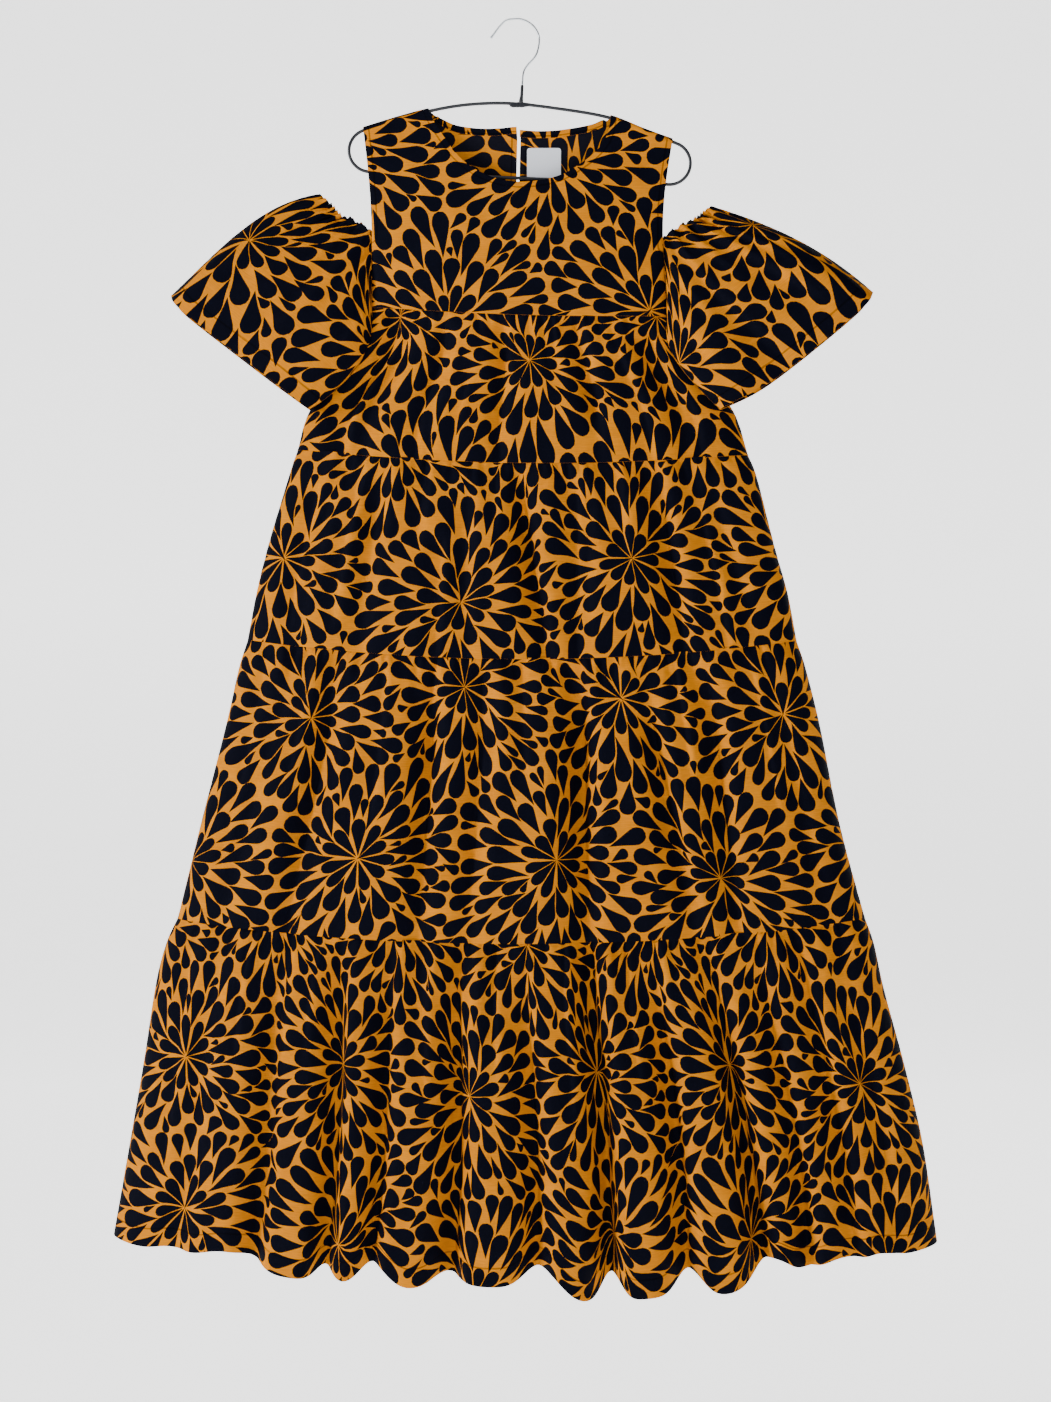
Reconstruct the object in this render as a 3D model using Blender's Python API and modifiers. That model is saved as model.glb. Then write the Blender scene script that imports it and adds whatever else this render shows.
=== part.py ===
"""Cold-shoulder tiered dress hung on a wire hanger.

The cloth is a set of thin curved panels, each one wall thick, cut where a maker would
sew them. Lengths in the tables are millimetres; the meshes are built in metres.
Across runs to the wearer's left as seen (+X), heights run down from the hanger hook's
inner crest (Z = 0), and the front faces -Y.
"""

import math

import bmesh
import bpy

MM = 0.001

# Cloth
WALL = 1.5
SEAM_GAP = 0.3
LABEL_WALL = 0.7
FACING_WALL = 1.0
FACING_DEPTH = 8.0

# Hanger wire
WIRE_RADIUS = 1.75
EAR_RADIUS = 25.0

# Roundness of the hung section: 2 is an ellipse, higher is boxier. At a side seam each
# panel ends in a short lip square to the hanger plane, so the two meet edge to edge.
SECTION_POWER = 2.4
SEAM_LIP = 2.4

# Top edge of the shoulders and the line that joins them above the neck: across, height.
SHOULDER_LINE = (
    (-184.0, -126.5),
    (-140.0, -113.0),
    (-104.0, -103.5),
    (-60.0, -96.0),
    (-10.0, -94.3),
    (52.0, -101.0),
    (110.0, -111.5),
    (149.0, -126.8),
    (186.0, -140.3),
)

# Neck edge of the front and of the back yoke: across, height.
NECK_FRONT = (
    (-104.0, -103.5),
    (-97.0, -121.0),
    (-88.0, -137.0),
    (-67.0, -166.0),
    (-35.0, -186.0),
    (2.0, -193.8),
    (52.0, -185.8),
    (86.0, -163.5),
    (102.0, -144.5),
    (110.0, -111.5),
)
NECK_BACK = (
    (-104.0, -103.5),
    (-87.0, -115.8),
    (-68.0, -123.2),
    (-30.0, -126.6),
    (-0.4, -124.0),
    (3.9, -128.0),
    (40.0, -128.8),
    (68.0, -125.4),
    (92.0, -120.2),
    (110.0, -111.5),
)

# Columns of the two yoke panels, measured across at their top edge. The slit at the
# centre back lies between the two columns at SLIT_LEFT and SLIT_RIGHT.
SLIT_LEFT = -0.4
SLIT_RIGHT = 3.2
YOKE_COLUMNS = (
    -181.0, -178.5, -173.0, -160.0, -132.0, -104.0, -88.0, -74.0, -57.0, -38.0, -19.0,
    SLIT_LEFT, SLIT_RIGHT, 22.0, 42.0, 60.0, 76.0, 90.0, 101.0, 110.0, 122.0, 134.0, 160.0,
    174.0, 180.5, 183.2,
)
ARMHOLE_LIP = 1.2
# Rows of the yoke panels as shares of the way down. Over a shoulder the first two rows
# are level and make the ridge that rests on the wire; the neck edge starts at NECK_ROW.
SHOULDER_ROWS = (0.0, 0.0, 0.012, 0.045, 0.10, 0.22, 0.38, 0.56, 0.75, 0.91, 1.0)
NECK_ROWS = (0.0, 0.0, 0.0, 0.0, 0.0, 0.12, 0.30, 0.50, 0.72, 0.90, 1.0)
NECK_ROW = 4
SLIT_END_ROW = 7
# The neck edge where it turns down from the shoulder seam: across, height of the rows
# between the ridge and NECK_ROW.
NECK_CORNERS = {
    ("front", -104.0): ((-103.6, -106.2), (-101.0, -113.0), (-96.5, -122.0)),
    ("front", 110.0): ((109.9, -114.2), (109.2, -122.0), (106.5, -134.0)),
    ("back", -104.0): ((-103.0, -105.8), (-100.5, -108.0), (-96.0, -111.5)),
    ("back", 110.0): ((109.4, -113.8), (107.8, -115.6), (105.0, -117.5)),
}
ARMHOLE_BOW_LEFT = 5.5
ARMHOLE_BOW_RIGHT = -10.5

# Depth of the yoke in front of and behind the hanger, and the room the hanger needs.
YOKE_FRONT_DEPTH = 20.0
YOKE_BACK_DEPTH = 7.0
SHOULDER_ROOM = 5.5
SHOULDER_RIDGE = 2.1
SHOULDER_ROUNDING = 2.5

# Each tier from its top seam (0) to its lower edge (1). Columns: share of the way down,
# left end across, left height, right end across, right height, centre height, depth in
# front, depth behind, how far behind the hanger the side seams hang.
CHEST_TIER = (
    (0.0, -171.7, -340.0, 179.9, -350.4, -351.6, 29.0, 12.0, 0.0),
    (0.2, -176.5, -366.0, 187.0, -374.0, -382.0, 31.0, 13.0, 2.0),
    (0.4, -194.0, -396.0, 207.0, -402.0, -414.0, 33.0, 14.0, 5.0),
    (0.6, -222.0, -428.0, 234.0, -431.0, -447.0, 35.0, 15.0, 8.0),
    (0.8, -246.5, -463.0, 257.5, -464.0, -482.0, 37.0, 16.0, 9.0),
    (1.0, -258.7, -505.7, 272.5, -511.6, -524.0, 39.0, 17.0, 9.0),
)
UPPER_SKIRT = (
    (0.0, -258.7, -505.7, 272.5, -511.6, -524.0, 39.0, 17.0, 9.0),
    (0.1, -266.0, -527.0, 281.2, -532.0, -546.0, 43.0, 19.0, 9.0),
    (0.5, -292.5, -615.0, 304.0, -620.0, -637.0, 49.0, 22.0, 9.0),
    (0.75, -306.5, -671.0, 319.0, -674.0, -694.0, 52.0, 23.5, 9.0),
    (1.0, -317.3, -729.0, 329.5, -730.0, -752.5, 55.0, 25.0, 9.0),
)
MIDDLE_SKIRT = (
    (0.0, -317.3, -729.0, 329.5, -730.0, -752.5, 55.0, 25.0, 9.0),
    (0.1, -327.0, -760.0, 339.5, -760.0, -785.0, 60.0, 28.0, 9.0),
    (0.3, -341.0, -822.0, 356.0, -826.0, -850.0, 63.0, 30.0, 9.0),
    (0.65, -371.0, -940.0, 380.0, -945.0, -966.0, 67.0, 32.0, 9.0),
    (1.0, -399.5, -1056.0, 409.5, -1055.0, -1080.0, 70.0, 34.0, 9.0),
)
LOWER_SKIRT = (
    (0.0, -399.5, -1056.0, 409.5, -1055.0, -1080.0, 70.0, 34.0, 9.0),
    (0.08, -412.0, -1083.0, 420.0, -1085.0, -1110.0, 77.0, 38.0, 9.0),
    (0.2, -424.0, -1127.0, 431.0, -1135.0, -1156.0, 80.0, 40.0, 9.0),
    (0.42, -438.5, -1219.0, 456.0, -1228.0, -1241.0, 84.0, 42.0, 9.0),
    (0.7, -454.0, -1310.0, 477.5, -1320.0, -1354.0, 88.0, 45.0, 9.0),
    (1.0, -474.5, -1427.0, 494.5, -1435.0, -1476.0, 92.0, 48.0, 9.0),
)

# Soft troughs that fall from one seam to the next. Columns: place across the panel at
# the top and at the bottom (0 left, 1 right), depth, half width.
CHEST_FRONT_FOLDS = (
    (0.13, 0.15, 13.0, 12.0),
    (0.26, 0.29, 7.0, 11.0),
    (0.44, 0.46, 6.0, 9.0),
    (0.70, 0.67, 7.0, 10.0),
    (0.90, 0.86, 10.0, 13.0),
)
CHEST_BACK_FOLDS = (
    (0.16, 0.18, 6.0, 14.0),
    (0.38, 0.36, 5.0, 14.0),
    (0.62, 0.65, 5.0, 14.0),
    (0.86, 0.83, 6.0, 14.0),
)
UPPER_FRONT_FOLDS = (
    (0.10, 0.09, 8.0, 15.0),
    (0.20, 0.21, 14.0, 15.0),
    (0.38, 0.40, 10.0, 14.0),
    (0.49, 0.55, 13.0, 12.0),
    (0.64, 0.61, 8.0, 14.0),
    (0.78, 0.80, 11.0, 15.0),
    (0.89, 0.92, 8.0, 15.0),
)
UPPER_BACK_FOLDS = (
    (0.13, 0.11, 7.0, 18.0),
    (0.31, 0.29, 9.0, 18.0),
    (0.52, 0.53, 8.0, 18.0),
    (0.71, 0.74, 9.0, 18.0),
    (0.88, 0.90, 7.0, 18.0),
)
MIDDLE_FRONT_FOLDS = (
    (0.09, 0.07, 8.0, 16.0),
    (0.19, 0.17, 15.0, 16.0),
    (0.34, 0.36, 16.0, 17.0),
    (0.45, 0.43, 11.0, 15.0),
    (0.60, 0.60, 21.0, 17.0),
    (0.71, 0.75, 14.0, 15.0),
    (0.83, 0.81, 13.0, 17.0),
    (0.93, 0.95, 7.0, 15.0),
)
MIDDLE_BACK_FOLDS = (
    (0.12, 0.10, 9.0, 20.0),
    (0.26, 0.25, 12.0, 20.0),
    (0.41, 0.42, 10.0, 20.0),
    (0.57, 0.55, 12.0, 20.0),
    (0.73, 0.75, 11.0, 20.0),
    (0.89, 0.91, 8.0, 20.0),
)
LOWER_FRONT_FOLDS = (
    (0.08, 0.085, 10.0, 17.0),
    (0.17, 0.178, 20.0, 17.0),
    (0.255, 0.262, 23.0, 15.0),
    (0.325, 0.318, 20.0, 14.0),
    (0.42, 0.413, 27.0, 19.0),
    (0.505, 0.516, 24.0, 18.0),
    (0.60, 0.601, 34.0, 17.0),
    (0.685, 0.692, 27.0, 17.0),
    (0.765, 0.785, 28.0, 15.0),
    (0.83, 0.84, 18.0, 14.0),
    (0.89, 0.893, 15.0, 15.0),
    (0.95, 0.945, 8.0, 13.0),
)
LOWER_BACK_FOLDS = (
    (0.10, 0.09, 13.0, 22.0),
    (0.20, 0.21, 17.0, 21.0),
    (0.31, 0.30, 15.0, 21.0),
    (0.43, 0.44, 19.0, 22.0),
    (0.55, 0.54, 17.0, 21.0),
    (0.67, 0.68, 18.0, 22.0),
    (0.79, 0.78, 16.0, 21.0),
    (0.90, 0.91, 12.0, 20.0),
)

# The front hem hangs unevenly. Level: place across, height over the plain hem line.
# Lifts over the troughs: place across, height, half width.
HEM_LEVEL = (
    (0.0, 0.0),
    (0.21, -1.0),
    (0.36, 0.0),
    (0.46, 6.0),
    (0.56, -12.0),
    (0.65, -9.0),
    (0.74, -11.0),
    (0.86, 4.0),
    (1.0, 0.0),
)
HEM_LIFTS = (
    (0.075, 8.0, 30.0),
    (0.14, 17.0, 34.0),
    (0.175, 8.0, 20.0),
    (0.262, 15.0, 14.0),
    (0.32, 25.0, 22.0),
    (0.405, 13.0, 23.0),
    (0.52, 31.0, 29.0),
    (0.603, 27.0, 15.0),
    (0.696, 27.0, 20.0),
    (0.793, 26.0, 26.0),
    (0.87, 7.0, 26.0),
    (0.92, 5.0, 16.0),
)
BACK_HEM_LIFT = 0.45

# Gathers under each top seam: how many across one panel, height, how far down they run.
GATHERS = {
    "chest_tier": (9, 2.2, 40.0),
    "upper_skirt": (13, 3.6, 60.0),
    "middle_skirt": (15, 4.2, 75.0),
    "lower_skirt": (18, 4.8, 85.0),
}
TIER_TABLES = {
    "chest_tier": (CHEST_TIER, CHEST_FRONT_FOLDS, CHEST_BACK_FOLDS),
    "upper_skirt": (UPPER_SKIRT, UPPER_FRONT_FOLDS, UPPER_BACK_FOLDS),
    "middle_skirt": (MIDDLE_SKIRT, MIDDLE_FRONT_FOLDS, MIDDLE_BACK_FOLDS),
    "lower_skirt": (LOWER_SKIRT, LOWER_FRONT_FOLDS, LOWER_BACK_FOLDS),
}
TIER_ORDER = ("chest_tier", "upper_skirt", "middle_skirt", "lower_skirt")
TIER_COLUMNS = {"chest_tier": (36, 26), "upper_skirt": (50, 36), "middle_skirt": (60, 44),
                "lower_skirt": (76, 56)}
TIER_ROWS = {
    "chest_tier": (0.0, 0.15, 0.45, 0.75, 1.0),
    "upper_skirt": (0.0, 0.07, 0.25, 0.6, 1.0),
    "middle_skirt": (0.0, 0.06, 0.22, 0.6, 1.0),
    "lower_skirt": (0.0, 0.05, 0.2, 0.45, 0.75, 1.0),
}
# Share of a trough that the seam below still shows.
SEAM_HOLD = 0.35

# Sleeves. The open top edge runs from the armhole to the peak, the hem from the inner
# corner to the tip: across, height. Bulge of the outer edge: across, up, how much of it
# sits near the top. Underarm: how far the seam there bows across to the body.
SLEEVE_LEFT = {
    "side": "left",
    "armhole_top": 0.575,
    "top_edge": ((-191.0, -236.5), (-206.0, -231.5), (-217.0, -219.5), (-231.7, -204.6)),
    "hem": ((-241.5, -461.5), (-317.0, -404.5), (-390.0, -347.0), (-405.7, -325.8)),
    "bulge": (-7.0, 15.0, 1.0),
    "underarm": 9.5,
    "hem_set": (-22.0, -6.0),
}
SLEEVE_RIGHT = {
    "side": "right",
    "armhole_top": 0.555,
    "top_edge": ((190.0, -244.0), (207.5, -235.5), (218.0, -228.0), (228.1, -218.7)),
    "hem": ((236.0, -462.5), (299.4, -427.5), (396.3, -349.3), (417.5, -322.2)),
    "bulge": (2.0, 13.0, -0.4),
    "underarm": -3.0,
    "hem_set": (-34.0, -8.0),
}
SLEEVE_HALF_DEPTH = 20.0
SLEEVE_PUFF = 9.0
SLEEVE_ARMHOLE_COLUMNS = 6
SLEEVE_TOP_COLUMNS = 15
SLEEVE_ROWS = (0.0, 0.06, 0.2, 0.45, 0.75, 1.0)
SLEEVE_GATHERS = 5
SLEEVE_GATHER_HEIGHT = 2.4
SLEEVE_START = 0.965
SLEEVE_LIP = 0.02

# Label: left, right, top and bottom edge on the inside of the back yoke.
LABEL_EDGES = (11.8, 51.7, -149.3, -186.0)

# Hook wire from its tip to the arm, thicker in its black sleeve at the foot: across,
# height, radius.
HOOK_LINE = (
    (-30.6, -21.0, 1.7),
    (-26.0, -15.0, 1.1),
    (-20.0, -7.0, 1.1),
    (-13.0, -0.6, 1.1),
    (-5.0, 1.1, 1.1),
    (4.0, 1.1, 1.1),
    (13.0, -2.2, 1.1),
    (20.5, -8.5, 1.1),
    (25.2, -17.0, 1.1),
    (26.2, -26.0, 1.1),
    (23.8, -38.0, 1.1),
    (19.5, -45.5, 1.1),
    (13.4, -52.0, 1.1),
    (8.2, -60.0, 1.1),
    (6.5, -71.0, 1.1),
)
HOOK_SLEEVE = ((6.1, -77.0, 1.1), (6.1, -77.3, 1.6), (5.6, -87.0, 1.8), (4.7, -96.6, 2.6))
# Crimped joint in front of the arm: across and half height from end to end, its middle
# height, front and back face.
JOINT_PROFILE = ((-9.0, 1.8), (-5.0, 3.3), (6.0, 3.3), (11.0, 2.4), (18.0, 1.4))
JOINT_HEIGHT = -100.6
JOINT_FRONT = -4.6
JOINT_BACK = -2.1
EAR_LEFT = (-172.5, -153.5)
EAR_RIGHT = (179.0, -168.5)


def lerp(a, b, t):
    return a + (b - a) * t


def smooth(t):
    t = min(max(t, 0.0), 1.0)
    return t * t * (3.0 - 2.0 * t)


def spline(rows, t, key=0):
    """Smooth curve through table rows, read at t in the key column."""
    last = len(rows) - 1
    i = 0
    while i < last - 1 and t > rows[i + 1][key]:
        i += 1
    a, b = rows[i], rows[i + 1]
    before, after = rows[max(i - 1, 0)], rows[min(i + 2, last)]
    step = b[key] - a[key]
    u = min(max((t - a[key]) / step, 0.0), 1.0)
    values = []
    for j in range(len(a)):
        slope_a = (b[j] - before[j]) / (b[key] - before[key]) * step
        slope_b = (after[j] - a[j]) / (after[key] - a[key]) * step
        values.append(
            a[j] * (2 * u ** 3 - 3 * u * u + 1)
            + slope_a * (u ** 3 - 2 * u * u + u)
            + b[j] * (3 * u * u - 2 * u ** 3)
            + slope_b * (u ** 3 - u * u)
        )
    return values


def curve_point(points, t):
    """Point on the smooth curve through points, with t from 0 to 1 by number of points."""
    rows = [(i / (len(points) - 1),) + tuple(p) for i, p in enumerate(points)]
    return spline(rows, t)[1:]


def section(t):
    """Depth share of the hung section at t across, square to the side seams at both ends."""
    return (1.0 - abs(2.0 * t - 1.0) ** SECTION_POWER) ** (1.0 / SECTION_POWER)


def away_from_sides(t):
    return smooth(min(t, 1.0 - t) / 0.07)


def trough_depth(folds, width, t, v):
    total = 0.0
    for top, bottom, depth, half_width in folds:
        offset = (t - lerp(top, bottom, v)) * width / half_width
        total += depth * math.exp(-offset * offset)
    return total


def fold_growth(v, free_edge):
    """How much of a trough shows at v: nothing at the top seam, held in at a lower seam."""
    grown = smooth(v / 0.35)
    if free_edge:
        return lerp(0.55 * grown, 1.0, v)
    return grown * lerp(1.0, SEAM_HOLD, smooth((v - 0.55) / 0.45))


def gather_height(tier, t, below, front):
    count, height, reach = GATHERS[tier]
    phase = 2.0 * math.pi * (count * t + 0.35 * math.sin(5.0 * t + (0.0 if front else 2.0)))
    uneven = 0.75 + 0.25 * math.sin(11.0 * t + 1.0)
    return height * uneven * (1.0 - math.exp(-below / 9.0)) * math.exp(-below / reach) * math.sin(phase)


def hem_rise(front, width, t, v):
    """How much higher than the plain hem line the lower skirt hangs."""
    if front:
        rise = spline(HEM_LEVEL, t)[1]
        for place, height, half_width in HEM_LIFTS:
            offset = (t - place) * width / half_width
            rise += height * math.exp(-offset * offset)
    else:
        rise = BACK_HEM_LIFT * trough_depth(LOWER_BACK_FOLDS, width, t, 1.0)
    return rise * smooth((v - 0.5) / 0.5) * away_from_sides(t)


def tier_point(tier, front, t, v, lip=1.0):
    """Point on the outer face of a tier, t across and v down, in millimetres."""
    table, front_folds, back_folds = TIER_TABLES[tier]
    row = spline(table, v)
    left, left_z, right, right_z, centre_z, front_depth, back_depth, side_y = row[1:]
    sag = centre_z - 0.5 * (left_z + right_z)
    x = lerp(left, right, t)
    z = lerp(left_z, right_z, t) + sag * (1.0 - (2.0 * t - 1.0) ** 2)
    width = right - left
    free_edge = tier == TIER_ORDER[-1]
    folds = front_folds if front else back_folds
    inward = trough_depth(folds, width, t, v) * fold_growth(v, free_edge)
    above = TIER_ORDER.index(tier) - 1
    if above >= 0:
        upper = TIER_TABLES[TIER_ORDER[above]]
        upper_folds = upper[1] if front else upper[2]
        upper_width = upper[0][-1][3] - upper[0][-1][1]
        carried = trough_depth(upper_folds, upper_width, t, 1.0) * SEAM_HOLD
        inward += carried * (1.0 - smooth(v / 0.5))
    below = v * abs(table[-1][5] - table[0][5])
    inward -= gather_height(tier, t, below, front)
    inward *= away_from_sides(t)
    depth = front_depth if front else back_depth
    out = 0.5 * SEAM_GAP + SEAM_LIP * lip + (depth - SEAM_LIP) * section(t) - inward
    y = side_y - out if front else side_y + out
    if free_edge:
        z += hem_rise(front, width, t, v)
    if v == 0.0:
        z -= 0.5 * SEAM_GAP
    if v == 1.0 and not free_edge:
        z += 0.5 * SEAM_GAP
    return x, y, z


def yoke_side(side, z):
    """Across position of an armhole edge at height z."""
    top, bottom, bow, row = (
        (YOKE_COLUMNS[0], CHEST_TIER[0][1], ARMHOLE_BOW_LEFT, CHEST_TIER[0][2])
        if side == "left"
        else (YOKE_COLUMNS[-1], CHEST_TIER[0][3], ARMHOLE_BOW_RIGHT, CHEST_TIER[0][4])
    )
    start = spline(SHOULDER_LINE, top)[1]
    v = min(max((start - z) / (start - row), 0.0), 1.0)
    return lerp(top, bottom, v) + bow * math.sin(math.pi * v)


def yoke_closing(v):
    """How far the two yoke panels have come together at the sides: 1 at the seam below."""
    return smooth((v - 0.62) / 0.38)


def yoke_out(front, x, z, lip=1.0, ridge=1.0):
    """Distance of the yoke's outer face from the hanger plane at a place on the yoke."""
    left, right = yoke_side("left", z), yoke_side("right", z)
    t = min(max((x - left) / (right - left), 0.0), 1.0)
    line = spline(SHOULDER_LINE, x)[1]
    _, _, bottom = tier_point("chest_tier", front, t, 0.0)
    drop = max(line - z, 0.0)
    v = min(drop / (line - bottom), 1.0)
    room = lerp(SHOULDER_ROOM, SHOULDER_RIDGE, math.exp(-drop / SHOULDER_ROUNDING)) * ridge
    depth = YOKE_FRONT_DEPTH if front else YOKE_BACK_DEPTH
    opened = room + depth * smooth(drop / 190.0) * (0.3 + 0.7 * section(t))
    full = CHEST_TIER[0][6 if front else 7]
    closed = SEAM_LIP * lip + (full - SEAM_LIP) * section(t)
    return 0.5 * SEAM_GAP + lerp(opened, closed, yoke_closing(v))


def yoke_point(front, column, row, lip=1.0):
    """Point on the outer face of a yoke panel, at a column and a row number."""
    neck_left, neck_right = NECK_FRONT[0][0], NECK_FRONT[-1][0]
    on_neck = neck_left < column < neck_right
    if on_neck:
        top_z = spline(NECK_FRONT if front else NECK_BACK, column)[1]
    else:
        top_z = spline(SHOULDER_LINE, column)[1]
    v = NECK_ROWS[row] if on_neck else SHOULDER_ROWS[row]
    share = (column - YOKE_COLUMNS[0]) / (YOKE_COLUMNS[-1] - YOKE_COLUMNS[0])
    _, _, bottom_z = tier_point("chest_tier", front, share, 0.0)
    z = lerp(top_z, bottom_z + SEAM_GAP, v)
    x = lerp(yoke_side("left", z), yoke_side("right", z), share)
    inset = ARMHOLE_LIP * lip * (1.0 - yoke_closing(v))
    if share <= 0.0:
        x += inset
    elif share >= 1.0:
        x -= inset
    corner = NECK_CORNERS.get(("front" if front else "back", column))
    if corner and 1 < row <= NECK_ROW:
        x, z = corner[row - 2]
    out = yoke_out(front, x, z, lip, 0.0 if row == 0 else 1.0)
    return x, -out if front else out, z


def sleeve_top(sleeve, t, front):
    """Upper edge of a sleeve: up the armhole, then along the open gathered top."""
    side = sleeve["side"]
    outward = -1.0 if side == "left" else 1.0
    split = SLEEVE_ARMHOLE_COLUMNS / (SLEEVE_ARMHOLE_COLUMNS + SLEEVE_TOP_COLUMNS)
    start_z = spline(SHOULDER_LINE, YOKE_COLUMNS[0 if side == "left" else -1])[1]
    end_z = CHEST_TIER[0][2 if side == "left" else 4]
    along = min(t / split, 1.0)
    z = lerp(start_z, end_z, lerp(SLEEVE_START, sleeve["armhole_top"], along))
    x = yoke_side(side, z)
    out = max(yoke_out(front, x, z), WALL + 1.0)
    x += outward * (SEAM_GAP + 0.2)
    if t > split:
        around = (t - split) / (1.0 - split)
        edge = ((x, z),) + sleeve["top_edge"]
        x, z = curve_point(edge, around)
        out = max(out * math.sqrt(max(1.0 - around ** 2.5, 0.0)), 0.0)
    return x, -out if front else out, z


def sleeve_point(sleeve, front, t, v, lip=1.0):
    """Point on the outer face of a sleeve: t from the underarm seam to the outer fold."""
    joined = smooth(v / 0.45)
    if t == 0.0:
        t = SLEEVE_LIP * lip * (1.0 - joined)
    top = sleeve_top(sleeve, t, front)
    hem_x, hem_z = curve_point(sleeve["hem"], t)
    set_y = lerp(sleeve["hem_set"][0], sleeve["hem_set"][1], t ** 0.7)
    sign = -1.0 if front else 1.0
    hem_y = set_y + sign * SLEEVE_HALF_DEPTH * section(t)
    bulge_x, bulge_z, skew = sleeve["bulge"]
    swell = 4.0 * v * (1.0 - v) * (1.0 + skew * (0.5 - v)) * t * t
    hollow = sleeve["underarm"] * 6.75 * v * (1.0 - v) ** 2 * (1.0 - t) ** 2
    x = lerp(top[0], hem_x, v) + bulge_x * swell + hollow
    z = lerp(top[2], hem_z, v) + bulge_z * swell
    y = lerp(top[1], hem_y, v)
    y += sign * SLEEVE_PUFF * section(t) * math.sin(math.pi * v)
    y += sign * joined * (0.5 * SEAM_GAP + SEAM_LIP * lip) * (1.0 - t)
    split = SLEEVE_ARMHOLE_COLUMNS / (SLEEVE_ARMHOLE_COLUMNS + SLEEVE_TOP_COLUMNS)
    if t > split:
        around = (t - split) / (1.0 - split)
        wave = math.sin(2.0 * math.pi * SLEEVE_GATHERS * around)
        y += sign * SLEEVE_GATHER_HEIGHT * wave * section(around) * smooth(v / 0.08) * math.exp(-v / 0.35)
    folds = 3.5 * smooth(v) * math.sin(9.0 * t + 0.6) * section(t)
    y += sign * folds
    return x, y, z


def material(name, colour, metallic, roughness):
    made = bpy.data.materials.new(name)
    made.use_nodes = True
    shader = made.node_tree.nodes["Principled BSDF"]
    shader.inputs["Base Color"].default_value = (*colour, 1.0)
    shader.inputs["Metallic"].default_value = metallic
    shader.inputs["Roughness"].default_value = roughness
    made.diffuse_color = (*colour, 1.0)
    return made


def add_object(name, data, collection, look):
    made = bpy.data.objects.new(name, data)
    made.data.materials.append(look)
    collection.objects.link(made)
    return made


def cloth_object(name, columns, collection, look, wall, skipped=(), flip=False):
    """Solid wall from a grid of points on its outer face; skipped quads are left open."""
    mesh = bmesh.new()
    grid = [[mesh.verts.new([c * MM for c in point]) for point in column] for column in columns]
    for i in range(len(grid) - 1):
        for j in range(len(grid[i]) - 1):
            if (i, j) in skipped:
                continue
            corners = [grid[i][j], grid[i][j + 1], grid[i + 1][j + 1], grid[i + 1][j]]
            if flip:
                corners.reverse()
            face = mesh.faces.new(corners)
            face.smooth = True
    bmesh.ops.delete(mesh, geom=[v for v in mesh.verts if not v.link_faces], context="VERTS")
    data = bpy.data.meshes.new(name)
    mesh.to_mesh(data)
    mesh.free()
    made = add_object(name, data, collection, look)
    shell = made.modifiers.new("wall", "SOLIDIFY")
    shell.thickness = wall * MM
    shell.offset = -1.0
    shell.use_even_offset = True
    return made


def wire_object(name, points, radii, collection, look):
    """Round wire along points, with one radius for each."""
    curve = bpy.data.curves.new(name, "CURVE")
    curve.dimensions = "3D"
    curve.bevel_depth = MM
    curve.bevel_resolution = 2
    curve.use_fill_caps = True
    line = curve.splines.new("POLY")
    line.points.add(len(points) - 1)
    for target, point, radius in zip(line.points, points, radii):
        target.co = (point[0] * MM, point[1] * MM, point[2] * MM, 1.0)
        target.radius = radius
    line.use_smooth = True
    return add_object(name, curve, collection, look)


def tier_shares(count):
    """Places across a tier panel with their lip, closer together beside the side seams."""
    near = [(0.0, 0.0), (0.0, 1.0), (0.006, 1.0), (0.02, 1.0), (0.042, 1.0)]
    middle = [(lerp(0.042, 0.958, i / count), 1.0) for i in range(1, count)]
    return near + middle + [(1.0 - share, lip) for share, lip in reversed(near)]


def build_tiers(collection, look):
    for tier in TIER_ORDER:
        for front in (True, False):
            count = TIER_COLUMNS[tier][0 if front else 1]
            columns = [
                [tier_point(tier, front, t, v, lip) for v in TIER_ROWS[tier]]
                for t, lip in tier_shares(count)
            ]
            name = f"{tier}_{'front' if front else 'back'}"
            cloth_object(name, columns, collection, look, WALL, flip=not front)


def build_yoke(collection, look):
    slit = YOKE_COLUMNS.index(SLIT_LEFT) + 1
    rows = range(len(SHOULDER_ROWS))
    for front in (True, False):
        columns = [[yoke_point(front, c, row) for row in rows] for c in YOKE_COLUMNS]
        columns.insert(0, [yoke_point(front, YOKE_COLUMNS[0], row, 0.0) for row in rows])
        columns.append([yoke_point(front, YOKE_COLUMNS[-1], row, 0.0) for row in rows])
        first, last = YOKE_COLUMNS.index(NECK_FRONT[0][0]), YOKE_COLUMNS.index(NECK_FRONT[-1][0])
        skipped = [(c, r) for c in range(first + 1, last + 1) for r in range(NECK_ROW)]
        if not front:
            skipped += [(slit, row) for row in range(NECK_ROW, SLIT_END_ROW)]
        name = "yoke_front" if front else "yoke_back"
        cloth_object(name, columns, collection, look, WALL, skipped, flip=not front)


def inside_back(x, z, clear):
    """Point inside the back yoke, clear of its inner face."""
    return x, yoke_out(False, x, z) - WALL - clear, z


def build_facings(collection, look):
    sides = {
        "neck_facing_left": [-94.0] + [c for c in YOKE_COLUMNS if -90.0 < c <= SLIT_LEFT],
        "neck_facing_right": [c for c in YOKE_COLUMNS if SLIT_RIGHT <= c < 103.0],
    }
    for name, across in sides.items():
        columns = []
        for x in across:
            top = spline(NECK_BACK, x)[1] - 0.4
            heights = [top, top - 0.5 * FACING_DEPTH, top - FACING_DEPTH]
            columns.append([inside_back(x, z, SEAM_GAP + 0.15) for z in heights])
        cloth_object(name, columns, collection, look, FACING_WALL, flip=True)


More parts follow.
